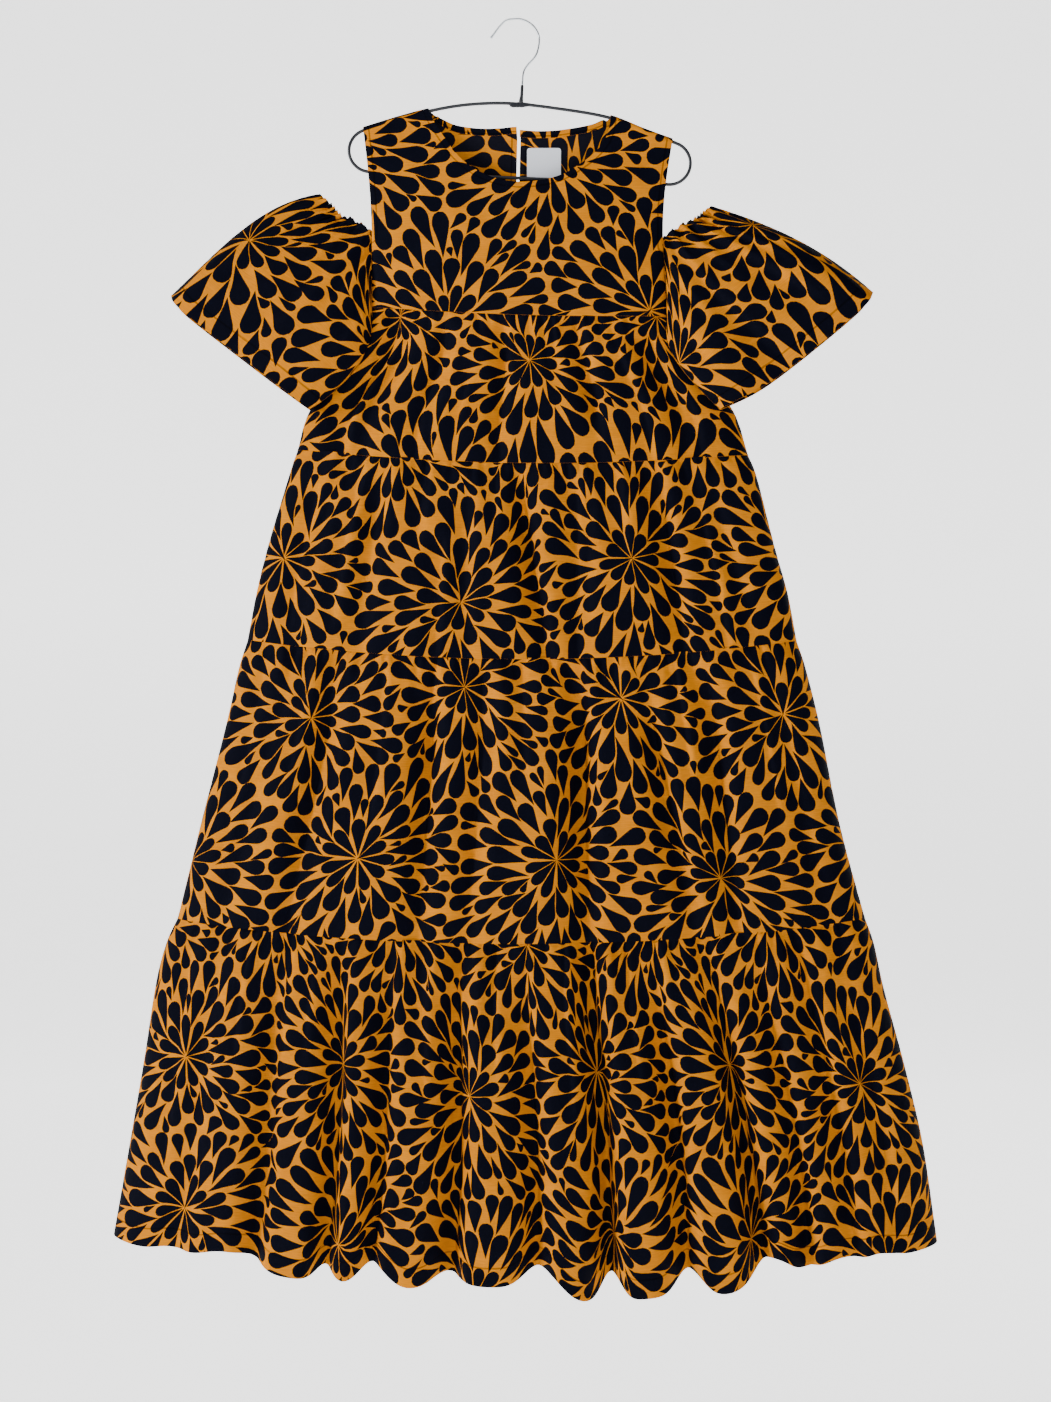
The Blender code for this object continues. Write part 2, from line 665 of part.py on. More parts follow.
def build_label(collection, look):
    left, right, top, bottom = LABEL_EDGES
    columns = []
    for i in range(5):
        x = lerp(left, right, i / 4.0)
        heights = [lerp(top, bottom, j / 4.0) for j in range(5)]
        columns.append([inside_back(x, z, SEAM_GAP + 0.3) for z in heights])
    cloth_object("neck_label", columns, collection, look, LABEL_WALL, flip=True)


def build_sleeves(collection, look):
    split = SLEEVE_ARMHOLE_COLUMNS / (SLEEVE_ARMHOLE_COLUMNS + SLEEVE_TOP_COLUMNS)
    places = [(0.0, 0.0), (0.0, 1.0), (0.04, 1.0)]
    places += [(split * i / SLEEVE_ARMHOLE_COLUMNS, 1.0) for i in range(1, SLEEVE_ARMHOLE_COLUMNS)]
    for i in range(SLEEVE_TOP_COLUMNS):
        places.append((lerp(split, 0.975, i / (SLEEVE_TOP_COLUMNS - 1)), 1.0))
    places.append((0.993, 1.0))
    for sleeve in (SLEEVE_LEFT, SLEEVE_RIGHT):
        around = [(True, t, lip) for t, lip in places]
        around.append((True, 1.0, 1.0))
        around += [(False, t, lip) for t, lip in reversed(places)]
        columns = [
            [sleeve_point(sleeve, front, t, v, lip) for v in SLEEVE_ROWS]
            for front, t, lip in around
        ]
        name = f"sleeve_{sleeve['side']}"
        cloth_object(name, columns, collection, look, WALL, flip=sleeve["side"] == "left")


def arm_height(x):
    """Height of the hanger arm's centre line, just under the shoulder seams."""
    return spline(SHOULDER_LINE, x)[1] - WALL - SEAM_GAP - WIRE_RADIUS - 0.2


def ear_points(centre, side):
    """Half circle of wire outside a shoulder, from the arm round to the bar."""
    points = []
    for i in range(13):
        angle = math.radians(lerp(62.0, -90.0, i / 12.0))
        x = centre[0] + side * EAR_RADIUS * math.cos(angle)
        points.append((x, 0.0, centre[1] + EAR_RADIUS * math.sin(angle)))
    return points


def block_object(name, rings, collection, look):
    """Closed block lofted through rings of corners, capped at both ends."""
    mesh = bmesh.new()
    loops = [[mesh.verts.new([c * MM for c in corner]) for corner in ring] for ring in rings]
    count = len(loops[0])
    for lower, upper in zip(loops, loops[1:]):
        for i in range(count):
            j = (i + 1) % count
            mesh.faces.new((lower[i], lower[j], upper[j], upper[i]))
    mesh.faces.new(list(reversed(loops[0])))
    mesh.faces.new(loops[-1])
    bmesh.ops.recalc_face_normals(mesh, faces=mesh.faces)
    data = bpy.data.meshes.new(name)
    mesh.to_mesh(data)
    mesh.free()
    return add_object(name, data, collection, look)


def build_joint(collection, look):
    """Crimped block behind the arm, where the two wire ends meet under the hook."""
    rings = []
    for x, half_height in JOINT_PROFILE:
        top, bottom = JOINT_HEIGHT + half_height, JOINT_HEIGHT - half_height
        rings.append([
            (x, JOINT_FRONT, bottom), (x, JOINT_BACK, bottom),
            (x, JOINT_BACK, top), (x, JOINT_FRONT, top),
        ])
    block_object("hanger_joint", rings, collection, look)


def build_hanger(collection, black, bright):
    left_ear = ear_points(EAR_LEFT, -1.0)
    right_ear = ear_points(EAR_RIGHT, 1.0)
    arm = [(lerp(-176.0, 178.0, i / 28.0), 0.0) for i in range(29)]
    arm_line = [(x, y, arm_height(x)) for x, y in arm]
    line = list(reversed(left_ear)) + arm_line + right_ear
    wire_object("hanger_arm", line, [WIRE_RADIUS] * len(line), collection, black)
    start, end = left_ear[-1], right_ear[-1]
    step = SEAM_GAP + 0.1
    bar = [(start[0] + step, 0.0, start[2]), (end[0] - step, 0.0, end[2])]
    wire_object("hanger_bar", bar, [WIRE_RADIUS] * 2, collection, black)
    hook = [curve_point(HOOK_LINE, i / 34.0) for i in range(35)] + list(HOOK_SLEEVE)
    hook_line = [(x, 0.0, z) for x, z, _ in hook]
    wire_object("hanger_hook", hook_line, [radius for _, _, radius in hook], collection, bright)
    build_joint(collection, black)


def clear_scene():
    for old in list(bpy.data.objects):
        bpy.data.objects.remove(old, do_unlink=True)


def main():
    clear_scene()
    solids = bpy.data.collections.new("tiered_dress")
    bpy.context.scene.collection.children.link(solids)
    cloth = material("printed_cotton", (0.62, 0.28, 0.05), 0.0, 0.8)
    label = material("label_satin", (0.85, 0.87, 0.92), 0.0, 0.5)
    black = material("black_wire", (0.02, 0.025, 0.035), 0.3, 0.4)
    bright = material("bright_wire", (0.7, 0.75, 0.8), 1.0, 0.25)
    build_yoke(solids, cloth)
    build_facings(solids, cloth)
    build_tiers(solids, cloth)
    build_sleeves(solids, cloth)
    build_label(solids, label)
    build_hanger(solids, black, bright)


main()
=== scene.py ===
"""Looks of the cold-shoulder tiered dress on its wire hanger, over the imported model.

Every cloth piece is a thin double-sided sheet laid on the form of its solid. The print is
cut into the cloth: drops and ground are separate faces, so the motif folds with the cloth.
Tables are millimetres; meshes are metres. Front faces -Y, heights run down from the hook.
"""

import math

import bpy
import numpy as np
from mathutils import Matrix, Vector
from mathutils.geometry import delaunay_2d_cdt


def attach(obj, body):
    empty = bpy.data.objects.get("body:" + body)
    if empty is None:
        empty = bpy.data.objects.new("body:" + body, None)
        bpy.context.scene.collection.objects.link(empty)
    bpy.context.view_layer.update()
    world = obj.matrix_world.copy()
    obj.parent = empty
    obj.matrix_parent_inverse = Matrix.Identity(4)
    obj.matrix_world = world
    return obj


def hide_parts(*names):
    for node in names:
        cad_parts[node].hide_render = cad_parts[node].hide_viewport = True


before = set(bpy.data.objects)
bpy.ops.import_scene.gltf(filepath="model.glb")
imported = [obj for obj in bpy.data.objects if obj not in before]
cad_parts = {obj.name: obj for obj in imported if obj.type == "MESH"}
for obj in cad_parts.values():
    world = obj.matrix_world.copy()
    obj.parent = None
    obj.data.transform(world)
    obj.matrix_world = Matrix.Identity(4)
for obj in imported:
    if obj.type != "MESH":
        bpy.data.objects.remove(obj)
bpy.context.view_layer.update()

MM = 0.001
CLOTH = 0.6  # thickness of the sheet that is seen

# Camera, at the height and distance that give the photograph's frame.
PIXEL = 1.176 * MM
IMAGE_LONG_SIDE = 1402
CAMERA_DISTANCE = 2.6
CAMERA_ACROSS = (525.5 - 517.0) * PIXEL
CAMERA_HEIGHT = -(701.0 - 20.0) * PIXEL

# Form of the cloth, as in the solids.
WALL = 1.5
SEAM_LIP = 2.4
SECTION_POWER = 2.4
SHOULDER_LINE = (
    (-184, -126.5), (-140, -113), (-104, -103.5), (-60, -96), (-10, -94.3),
    (52, -101), (110, -111.5), (149, -126.8), (186, -140.3),
)
NECK_FRONT = (
    (-104, -103.5), (-97, -121), (-88, -137), (-67, -166), (-35, -186),
    (2, -193.8), (52, -185.8), (86, -163.5), (102, -144.5), (110, -111.5),
)
NECK_BACK = (
    (-104, -103.5), (-87, -115.8), (-68, -123.2), (-30, -126.6), (-0.4, -124),
    (3.9, -128), (40, -128.8), (68, -125.4), (92, -120.2), (110, -111.5),
)
SLIT_LEFT = -0.4
SLIT_RIGHT = 3.2
SLIT_END = -238
YOKE_LEFT = -181
YOKE_RIGHT = 183.2
NECK_COLUMNS = (-88, -74, -57, -38, -19, SLIT_LEFT, SLIT_RIGHT, 22, 42, 60,
                76, 90, 101)
NECK_CORNERS = {
    ("front", "left"): ((-104, -103.5), (-103.6, -106.2), (-101, -113), (-96.5, -122)),
    ("front", "right"): ((106.5, -134), (109.2, -122), (109.9, -114.2), (110, -111.5)),
    ("back", "left"): ((-104, -103.5), (-103, -105.8), (-100.5, -108), (-96, -111.5)),
    ("back", "right"): ((105, -117.5), (107.8, -115.6), (109.4, -113.8), (110, -111.5)),
}
ARMHOLE_BOW_LEFT = 5.5
ARMHOLE_BOW_RIGHT = -10.5
YOKE_FRONT_DEPTH = 20
YOKE_BACK_DEPTH = 7
SHOULDER_ROOM = 5.5
SHOULDER_RIDGE = 2.1
SHOULDER_ROUNDING = 2.5

# Tiers: share of the way down, left across, left height, right across, right height,
# centre height, depth in front, depth behind, how far behind the hanger the seams hang.
CHEST_TIER = (
    (0, -171.7, -340, 179.9, -350.4, -351.6, 29, 12, 0),
    (0.2, -176.5, -366, 187, -374, -382, 31, 13, 2),
    (0.4, -194, -396, 207, -402, -414, 33, 14, 5),
    (0.6, -222, -428, 234, -431, -447, 35, 15, 8),
    (0.8, -246.5, -463, 257.5, -464, -482, 37, 16, 9),
    (1, -258.7, -505.7, 272.5, -511.6, -524, 39, 17, 9),
)
UPPER_SKIRT = (
    (0, *CHEST_TIER[-1][1:]),
    (0.1, -266, -527, 281.2, -532, -546, 43, 19, 9),
    (0.5, -292.5, -615, 304, -620, -637, 49, 22, 9),
    (0.75, -306.5, -671, 319, -674, -694, 52, 23.5, 9),
    (1, -317.3, -729, 329.5, -730, -752.5, 55, 25, 9),
)
MIDDLE_SKIRT = (
    (0, *UPPER_SKIRT[-1][1:]),
    (0.1, -327, -760, 339.5, -760, -785, 60, 28, 9),
    (0.3, -341, -822, 356, -826, -850, 63, 30, 9),
    (0.65, -371, -940, 380, -945, -966, 67, 32, 9),
    (1, -399.5, -1056, 409.5, -1055, -1080, 70, 34, 9),
)
LOWER_SKIRT = (
    (0, *MIDDLE_SKIRT[-1][1:]),
    (0.08, -412, -1083, 420, -1085, -1110, 77, 38, 9),
    (0.2, -424, -1127, 431, -1135, -1156, 80, 40, 9),
    (0.42, -438.5, -1219, 456, -1228, -1241, 84, 42, 9),
    (0.7, -454, -1310, 477.5, -1320, -1354, 88, 45, 9),
    (1, -474.5, -1427, 494.5, -1435, -1476, 92, 48, 9),
)

# Troughs: place across at the top and at the bottom, depth, half width.
CHEST_FRONT_FOLDS = (
    (0.13, 0.15, 13, 12), (0.26, 0.29, 7, 11), (0.44, 0.46, 6, 9),
    (0.7, 0.67, 7, 10), (0.9, 0.86, 10, 13),
)
CHEST_BACK_FOLDS = (
    (0.16, 0.18, 6, 14), (0.38, 0.36, 5, 14), (0.62, 0.65, 5, 14),
    (0.86, 0.83, 6, 14),
)
UPPER_FRONT_FOLDS = (
    (0.1, 0.09, 8, 15), (0.2, 0.21, 14, 15), (0.38, 0.4, 10, 14),
    (0.49, 0.55, 13, 12), (0.64, 0.61, 8, 14), (0.78, 0.8, 11, 15),
    (0.89, 0.92, 8, 15),
)
UPPER_BACK_FOLDS = (
    (0.13, 0.11, 7, 18), (0.31, 0.29, 9, 18), (0.52, 0.53, 8, 18),
    (0.71, 0.74, 9, 18), (0.88, 0.9, 7, 18),
)
MIDDLE_FRONT_FOLDS = (
    (0.09, 0.07, 8, 16), (0.19, 0.17, 15, 16), (0.34, 0.36, 16, 17),
    (0.45, 0.43, 11, 15), (0.6, 0.6, 21, 17), (0.71, 0.75, 14, 15),
    (0.83, 0.81, 13, 17), (0.93, 0.95, 7, 15),
)
MIDDLE_BACK_FOLDS = (
    (0.12, 0.1, 9, 20), (0.26, 0.25, 12, 20), (0.41, 0.42, 10, 20),
    (0.57, 0.55, 12, 20), (0.73, 0.75, 11, 20), (0.89, 0.91, 8, 20),
)
LOWER_FRONT_FOLDS = (
    (0.08, 0.085, 10, 17), (0.17, 0.178, 20, 17), (0.255, 0.262, 23, 15),
    (0.325, 0.318, 20, 14), (0.42, 0.413, 27, 19), (0.505, 0.516, 24, 18),
    (0.6, 0.601, 34, 17), (0.685, 0.692, 27, 17), (0.765, 0.785, 28, 15),
    (0.83, 0.84, 18, 14), (0.89, 0.893, 15, 15), (0.95, 0.945, 8, 13),
)
LOWER_BACK_FOLDS = (
    (0.1, 0.09, 13, 22), (0.2, 0.21, 17, 21), (0.31, 0.3, 15, 21),
    (0.43, 0.44, 19, 22), (0.55, 0.54, 17, 21), (0.67, 0.68, 18, 22),
    (0.79, 0.78, 16, 21), (0.9, 0.91, 12, 20),
)
HEM_LEVEL = (
    (0, 0), (0.21, -1), (0.36, 0), (0.46, 6), (0.56, -12), (0.65, -9),
    (0.74, -11), (0.86, 4), (1, 0),
)
HEM_LIFTS = (
    (0.075, 8, 30), (0.14, 17, 34), (0.175, 8, 20), (0.262, 15, 14),
    (0.32, 25, 22), (0.405, 13, 23), (0.52, 31, 29), (0.603, 27, 15),
    (0.696, 27, 20), (0.793, 26, 26), (0.87, 7, 26), (0.92, 5, 16),
)
BACK_HEM_LIFT = 0.45
SEAM_HOLD = 0.35

# Sharp folds in front: place across at the top and at the bottom, the heights between which
# it shows, depth, how far it slopes in from the left.
CREASES = {
    "chest_tier": (
        (0.095, 0.1, 0, 1, 8, 20), (0.25, 0.265, 0.08, 1, 5, 16),
        (0.345, 0.35, 0.35, 0.9, 2.5, 14), (0.445, 0.45, 0.05, 1, 5, 15),
        (0.6, 0.61, 0, 0.5, 3, 12), (0.69, 0.68, 0, 0.75, 4.5, 15),
        (0.8, 0.785, 0.3, 1, 3, 13), (0.91, 0.895, 0.15, 1, 6, 18),
    ),
    "upper_skirt": (
        (0.07, 0.075, 0.2, 0.9, 4, 16), (0.15, 0.15, 0.05, 0.85, 5, 17),
        (0.29, 0.3, 0, 0.45, 3.5, 12), (0.34, 0.345, 0.4, 1, 4, 14),
        (0.44, 0.45, 0, 0.35, 3, 10), (0.491, 0.547, 0, 1, 6.5, 20),
        (0.615, 0.6, 0.1, 1, 4.5, 15), (0.7, 0.705, 0, 0.5, 3.5, 13),
        (0.788, 0.792, 0, 1, 6, 19), (0.86, 0.87, 0.3, 1, 4, 15),
    ),
    "middle_skirt": (
        (0.05, 0.045, 0.1, 0.8, 4, 18), (0.125, 0.12, 0, 0.45, 3.5, 13),
        (0.174, 0.165, 0, 1, 6, 20), (0.26, 0.265, 0.05, 0.6, 4, 14),
        (0.345, 0.355, 0, 1, 6.5, 20), (0.432, 0.425, 0, 0.9, 5.5, 17),
        (0.5, 0.505, 0, 0.4, 4, 12), (0.604, 0.598, 0, 1, 8.5, 24),
        (0.7, 0.765, 0.2, 0.9, 6, 18), (0.767, 0.776, 0, 0.45, 5, 13),
        (0.822, 0.815, 0.05, 1, 5.5, 18), (0.9, 0.905, 0, 0.6, 3.5, 13),
    ),
    "lower_skirt": (
        (0.045, 0.05, 0.1, 0.7, 4, 17), (0.12, 0.125, 0, 0.4, 4, 13),
        (0.178, 0.18, 0, 1, 6, 20), (0.215, 0.212, 0, 0.35, 4, 11),
        (0.262, 0.266, 0.05, 1, 7, 18), (0.325, 0.32, 0, 0.95, 6, 16),
        (0.37, 0.372, 0, 0.45, 4, 12), (0.418, 0.415, 0, 1, 8, 21),
        (0.465, 0.46, 0, 0.4, 4, 12), (0.508, 0.514, 0.05, 1, 7, 20),
        (0.56, 0.556, 0, 0.5, 4.5, 12), (0.6, 0.603, 0, 1, 9, 22),
        (0.645, 0.65, 0, 0.4, 4, 12), (0.69, 0.694, 0, 1, 8, 20),
        (0.765, 0.785, 0, 1, 8, 20), (0.83, 0.84, 0.1, 1, 5, 15),
        (0.89, 0.893, 0, 0.9, 5, 16), (0.945, 0.942, 0.2, 0.9, 4, 14),
    ),
}
SLEEVE_CREASES = (
    (0.1, 0.14, 0, 0.75, 3.5, 12), (0.22, 0.3, 0, 0.55, 3.5, 12),
    (0.34, 0.4, 0, 0.9, 5, 17), (0.46, 0.5, 0, 0.45, 4, 11),
    (0.57, 0.62, 0, 0.8, 4.5, 16), (0.7, 0.72, 0, 0.5, 4, 12),
    (0.82, 0.84, 0, 0.6, 3, 13),
)
SLEEVE_SPAN = 225  # width over which the sleeves' creases are placed
CREASE_EDGE = 3.6
CREASE_SCALE = 1.3
BACK_CREASE_SHARE = 0.8
# Share of a trough's half width on its left and on its right wall.
LEFT_WALL = 1.2
RIGHT_WALL = 0.6

# Gathers under each top seam: how many across one panel, height, how far down they run.
GATHERS = {
    "chest_tier": (9, 2.2, 40),
    "upper_skirt": (13, 3.6, 60),
    "middle_skirt": (15, 4.2, 75),
    "lower_skirt": (18, 4.8, 85),
}
TIER_TABLES = {
    "chest_tier": (CHEST_TIER, CHEST_FRONT_FOLDS, CHEST_BACK_FOLDS),
    "upper_skirt": (UPPER_SKIRT, UPPER_FRONT_FOLDS, UPPER_BACK_FOLDS),
    "middle_skirt": (MIDDLE_SKIRT, MIDDLE_FRONT_FOLDS, MIDDLE_BACK_FOLDS),
    "lower_skirt": (LOWER_SKIRT, LOWER_FRONT_FOLDS, LOWER_BACK_FOLDS),
}
TIER_ORDER = ("chest_tier", "upper_skirt", "middle_skirt", "lower_skirt")
# Each side of the yoke: shoulder point, seam point, bow of the armhole, height of the seam.
YOKE_SIDES = {
    "left": (YOKE_LEFT, CHEST_TIER[0][1], ARMHOLE_BOW_LEFT, CHEST_TIER[0][2]),
    "right": (YOKE_RIGHT, CHEST_TIER[0][3], ARMHOLE_BOW_RIGHT, CHEST_TIER[0][4]),
}
# Cloth seen from seam to seam.
TIER_HEIGHT = {"chest_tier": 178, "upper_skirt": 232, "middle_skirt": 332,
               "lower_skirt": 398}

SLEEVE_LEFT = {
    "side": "left",
    "armhole_top": 0.575,
    "top_edge": ((-191, -236.5), (-206, -231.5), (-217, -219.5), (-231.7, -204.6)),
    "hem": ((-241.5, -461.5), (-317, -404.5), (-390, -347), (-405.7, -325.8)),
    "bulge": (-7, 15, 1),
    "underarm": (15, 17),
    "hem_set": (-22, -6),
    "print": (75, 390),
}
SLEEVE_RIGHT = {
    "side": "right",
    "armhole_top": 0.555,
    "top_edge": ((190, -244), (207.5, -235.5), (218, -228), (228.1, -218.7)),
    "hem": ((236, -462.5), (299.4, -427.5), (396.3, -349.3), (417.5, -322.2)),
    "bulge": (2, 13, -0.4),
    "underarm": (-17, -9),
    "hem_set": (-34, -8),
    "print": (400, 200),
}
SLEEVE_HALF_DEPTH = 20
SLEEVE_PUFF = 9
SLEEVE_SPLIT = 6 / 21  # share of the top edge that is sewn to the armhole
SLEEVE_GAP = 0.2
SLEEVE_GATHERS = 5
SLEEVE_GATHER_HEIGHT = 2.4
SLEEVE_START = 0.965
SLEEVE_LIP = 0.02
SLEEVE_HEIGHT = 185
FRILL_DEPTH = 2.9
FRILL_HEIGHT = 1.7

LABEL_EDGES = (11.8, 51.7, -149.3, -186)
LABEL_CORNER = 3
FACING_DEPTH = 8

HOOK_LINE = (
    (-30.6, -21), (-26, -15), (-20, -7), (-13, -0.6), (-5, 1.1), (4, 1.1),
    (13, -2.2), (20.5, -8.5), (25.2, -17), (26.2, -26), (23.8, -38), (19.5, -45.5),
    (13.4, -52), (8.2, -60), (6.5, -71), (6.1, -80),
)
HOOK_RADIUS = 1.1
FERRULE = ((6.2, -76.8, 1.5), (6.1, -77.4, 1.85), (5.8, -84, 1.85), (5.4, -90, 2),
           (4.9, -94.5, 2.6), (4.7, -96.2, 2.7), (4.7, -96.6, 2.2))
WIRE_RADIUS = 1.75
SEEN_RADIUS = 1.95  # a little more, as the bright backdrop eats into a thin dark wire
EAR_RADIUS = 25
EAR_LEFT = (-172.5, -153.5)
EAR_RIGHT = (179, -168.5)
JOINT_PROFILE = ((-9, 1.8), (-5, 3.3), (6, 3.3), (11, 2.4), (18, 1.4))
JOINT_HEIGHT = -100.6
JOINT_FRONT = -4.6
JOINT_BACK = -2.1

# Tucks under the gathered seams, and the pull of the seam itself.
PUCKER_SPACING = 10.5
PUCKER_REACHES = (10.0, 16.0, 26.0, 46.0)
PUCKER_SEED = 40
SEAM_TUCK = 1.4
SEAM_TUCK_REACH = 2.0

SIDE_SHARE = 0.07  # share of the width next to each side seam over which folds die out
LIP_SHARE = 0.004  # small share past each end of a panel that carries its seam lip
TABLE_HEIGHTS = (0, 0.05, 0.12, 0.22, 0.35, 0.5, 0.65, 0.8, 1)
WIDTH_HEIGHT = 0.85

# Points inside the flat pieces. A band has its insets at left and right, its first and last
# height (None: to the lower edge) and its steps across and down.
TIER_TOP = -1.5
TIER_BANDS = ((4, 3, TIER_TOP + 1.2, 4, 2.6, 1.6), (4, 3, 7, 40, 3, 3.6),
              (5, 4, 46, None, 5.2, 6.5))
TIER_INSETS = (0.7, 1.5, 2.3)
SLEEVE_BANDS = ((3, 3, 2, 34, 2.8, 3.2), (4, 4, 39, None, 5, 5.5))
SLEEVE_INSETS = (0.7, 1.5)
SLEEVE_FOLD_COLUMNS = (-1.5, -0.5, 0.5, 1.5)
PANEL_EDGE_STEPS = (2.6, 4.0, 3.2, 4.0)
YOKE_ROWS = (0.5, 1.0, 1.6, 2.4, 3.6, 5.5, 8.0)
YOKE_INSETS = (0.5, 1.0, 1.7, 2.6)
NORMAL_STEPS = ((0.4, 0.0), (0.0, 0.4))

# Distance of the stitches from a free edge.
HEM_STITCHES = 21.0
SLEEVE_STITCHES = 15.0
YOKE_STITCHES = 6.5
NO_STITCHES = -50.0

# Print. The layout repeats over TILE; each burst has its place and its number of drops.
TILE = (690, 600)
BURSTS = (
    (70, 60, 11), (290, 110, 12), (520, 50, 12), (175, 265, 11),
    (405, 300, 12), (630, 250, 11), (60, 450, 12), (285, 480, 12),
    (500, 455, 11),
)
PRINT_SEED = 7
PRINT_CELL = 0.75
DROP_HEAD = 0.7
DROP_STATIONS = (0, 0.18, 0.36, 0.52, 0.64, 0.74, 0.83, 0.91, 0.97)
DROP_GAP = 1.15
DROP_REACH = 60
PROBES = (0.75, 0.4, 0.95)  # places along a drop that are tried first
HEART_RADIUS = 2.2
HEART_GAP = 0.3
RING_RADII = (10.0, 200.0, 2.0)
RING_SPACING = 4
LONGER_TAILS = (10, 7, 4, 2)
LONGEST_DROP = 56
FULLER_BODIES = (1.3, 1.22, 1.15, 1.08)
WIDEST_DROP = 20
GROWN_GAP = 0.9
OUTLINE_GROWTH = 0.38
# Drops that fill what the rings leave: shortest, longest, width share, tries.
FILLER_DROPS = ((28, 34, 0.46, 7000), (21, 28, 0.47, 8000), (15, 21, 0.48, 8000),
                (12, 15, 0.46, 3000))

# Looks: light colour, dark colour, roughness, gloss. Outside ground and drops, then inside.
COTTONS = {
    "ground": ((0.72, 0.245, 0.001), (0.47, 0.145, 0.0008), 0.9, 0.02),
    "drop": ((0.002, 0.0024, 0.007), (0.0012, 0.0015, 0.005), 0.7, 0.03),
    "ground_inside": ((0.70, 0.240, 0.004), (0.50, 0.160, 0.003), 0.9, 0.02),
    "drop_inside": ((0.006, 0.006, 0.011), (0.004, 0.004, 0.008), 0.8, 0.03),
}
PAPER_GLOW = 1.7
WORLD_LIGHT = 0.2
# Lights in metres and watts: place, aim, size, power.
LIGHTS = {
    "key": ((-3.0, -1.35, 0.15), (0.0, 0.0, -0.85), (0.7, 1.2), 112.0),
    "top": ((-0.6, -1.2, 1.5), (0.0, 0.0, -0.5), (1.2, 0.8), 16.0),
    "fill": ((1.4, -3.2, -0.6), (0.0, 0.0, -0.8), (1.6, 2.0), 9.0),
    "back": ((2.6, 2.4, 0.6), (0.0, 0.0, -0.8), (1.2, 1.6), 60.0),
}


def lerp(a, b, t):
    return a + (b - a) * t


def pairs(first, second):
    return np.column_stack([first, second])


def shares(count):
    return np.linspace(0.0, 1.0, count)


def unit(t):
    return np.clip(t, 0.0, 1.0)


def smooth(t):
    t = unit(t)
    return t * t * (3.0 - 2.0 * t)


def bell(t):
    return np.exp(-t ** 2)


def spline(rows, t):
    """Smooth curve through table rows, read at every t in the first column."""
    rows = np.asarray(rows, float)
    t = np.asarray(t, float)
    last = len(rows) - 1
    i = np.searchsorted(rows[1:last, 0], t, side="left")
    a, b = rows[i], rows[i + 1]
    before, after = rows[np.maximum(i - 1, 0)], rows[np.minimum(i + 2, last)]
    step = (b[..., 0] - a[..., 0])[..., None]
    u = unit((t - a[..., 0])[..., None] / step)
    slope_a = (b - before) / (b[..., 0] - before[..., 0])[..., None] * step
    slope_b = (after - a) / (after[..., 0] - a[..., 0])[..., None] * step
    return (a * (2 * u ** 3 - 3 * u * u + 1) + slope_a * (u ** 3 - 2 * u * u + u)
            + b * (3 * u * u - 2 * u ** 3) + slope_b * (u ** 3 - u * u))


def curve_points(points, t):
    """Points on the smooth curve through a list, with t from 0 to 1 by number of points."""
    points = np.asarray(points, float)
    rows = pairs(shares(len(points)), points)
    return spline(rows, t)[..., 1:]


def section(t):
    """Depth share of the hung section at t across, square to the side seams at both ends."""
    return (1.0 - np.abs(2.0 * t - 1.0) ** SECTION_POWER) ** (1.0 / SECTION_POWER)


def away_from_sides(t):
    return smooth(np.minimum(t, 1.0 - t) / SIDE_SHARE)


def shoulder_height(x):
    return spline(SHOULDER_LINE, x)[..., 1]


def hung_height(t, left_z, right_z, centre_z):
    """Height at t across a line that sags between its two ends."""
    sag = centre_z - 0.5 * (left_z + right_z)
    return lerp(left_z, right_z, t) + sag * (1.0 - (2.0 * t - 1.0) ** 2)


def row_width(row):
    return row[3] - row[1]


def trough_depth(folds, width, t, v):
    total = np.zeros_like(t)
    for top, bottom, depth, half_width in folds:
        across = (t - lerp(top, bottom, v)) * width / half_width
        total += depth * bell(across / np.where(across < 0.0, LEFT_WALL, RIGHT_WALL))
    return total


def crease_depth(rows, width, t, v):
    """Folds that slope in slowly from the left and come out steeply at the right."""
    total = np.zeros_like(t)
    for top, bottom, start, end, depth, reach in rows:
        across = (t - lerp(top, bottom, v)) * width
        slope = np.where(across < 0.0, bell(across / reach) ** 0.7, bell(across / CREASE_EDGE))
        run = smooth((v - start) / 0.12 + 0.45) * smooth((end - v) / 0.25 + 0.45)
        total += CREASE_SCALE * depth * slope * run
    return total


def mirrored(rows, share=1.0):
    """Creases seen from the other side, at a share of their depth."""
    return [(1.0 - top, 1.0 - bottom, start, end, share * depth, reach)
            for top, bottom, start, end, depth, reach in rows]


def fold_growth(v, free_edge):
    """How far the troughs have opened at v down a tier."""
    grown = smooth(v / 0.35)
    if free_edge:
        return lerp(0.55 * grown, 1.0, v)
    return grown * lerp(1.0, SEAM_HOLD, smooth((v - 0.55) / 0.45))


def gather_height(tier, t, below, front):
    count, height, reach = GATHERS[tier]
    phase = math.tau * (count * t + 0.35 * np.sin(5.0 * t + (0.0 if front else 2.0)))
    uneven = 0.75 + 0.25 * np.sin(11.0 * t + 1.0)
    fade = (1.0 - np.exp(-below / 9.0)) * np.exp(-below / reach)
    return height * uneven * fade * np.sin(phase)


def hem_rise(front, width, t, v):
    if front:
        rise = spline(HEM_LEVEL, t)[..., 1]
        for place, height, half_width in HEM_LIFTS:
            rise = rise + height * bell((t - place) * width / half_width)
    else:
        rise = BACK_HEM_LIFT * trough_depth(LOWER_BACK_FOLDS, width, t, 1.0)
    return rise * smooth((v - 0.5) / 0.5) * away_from_sides(t)


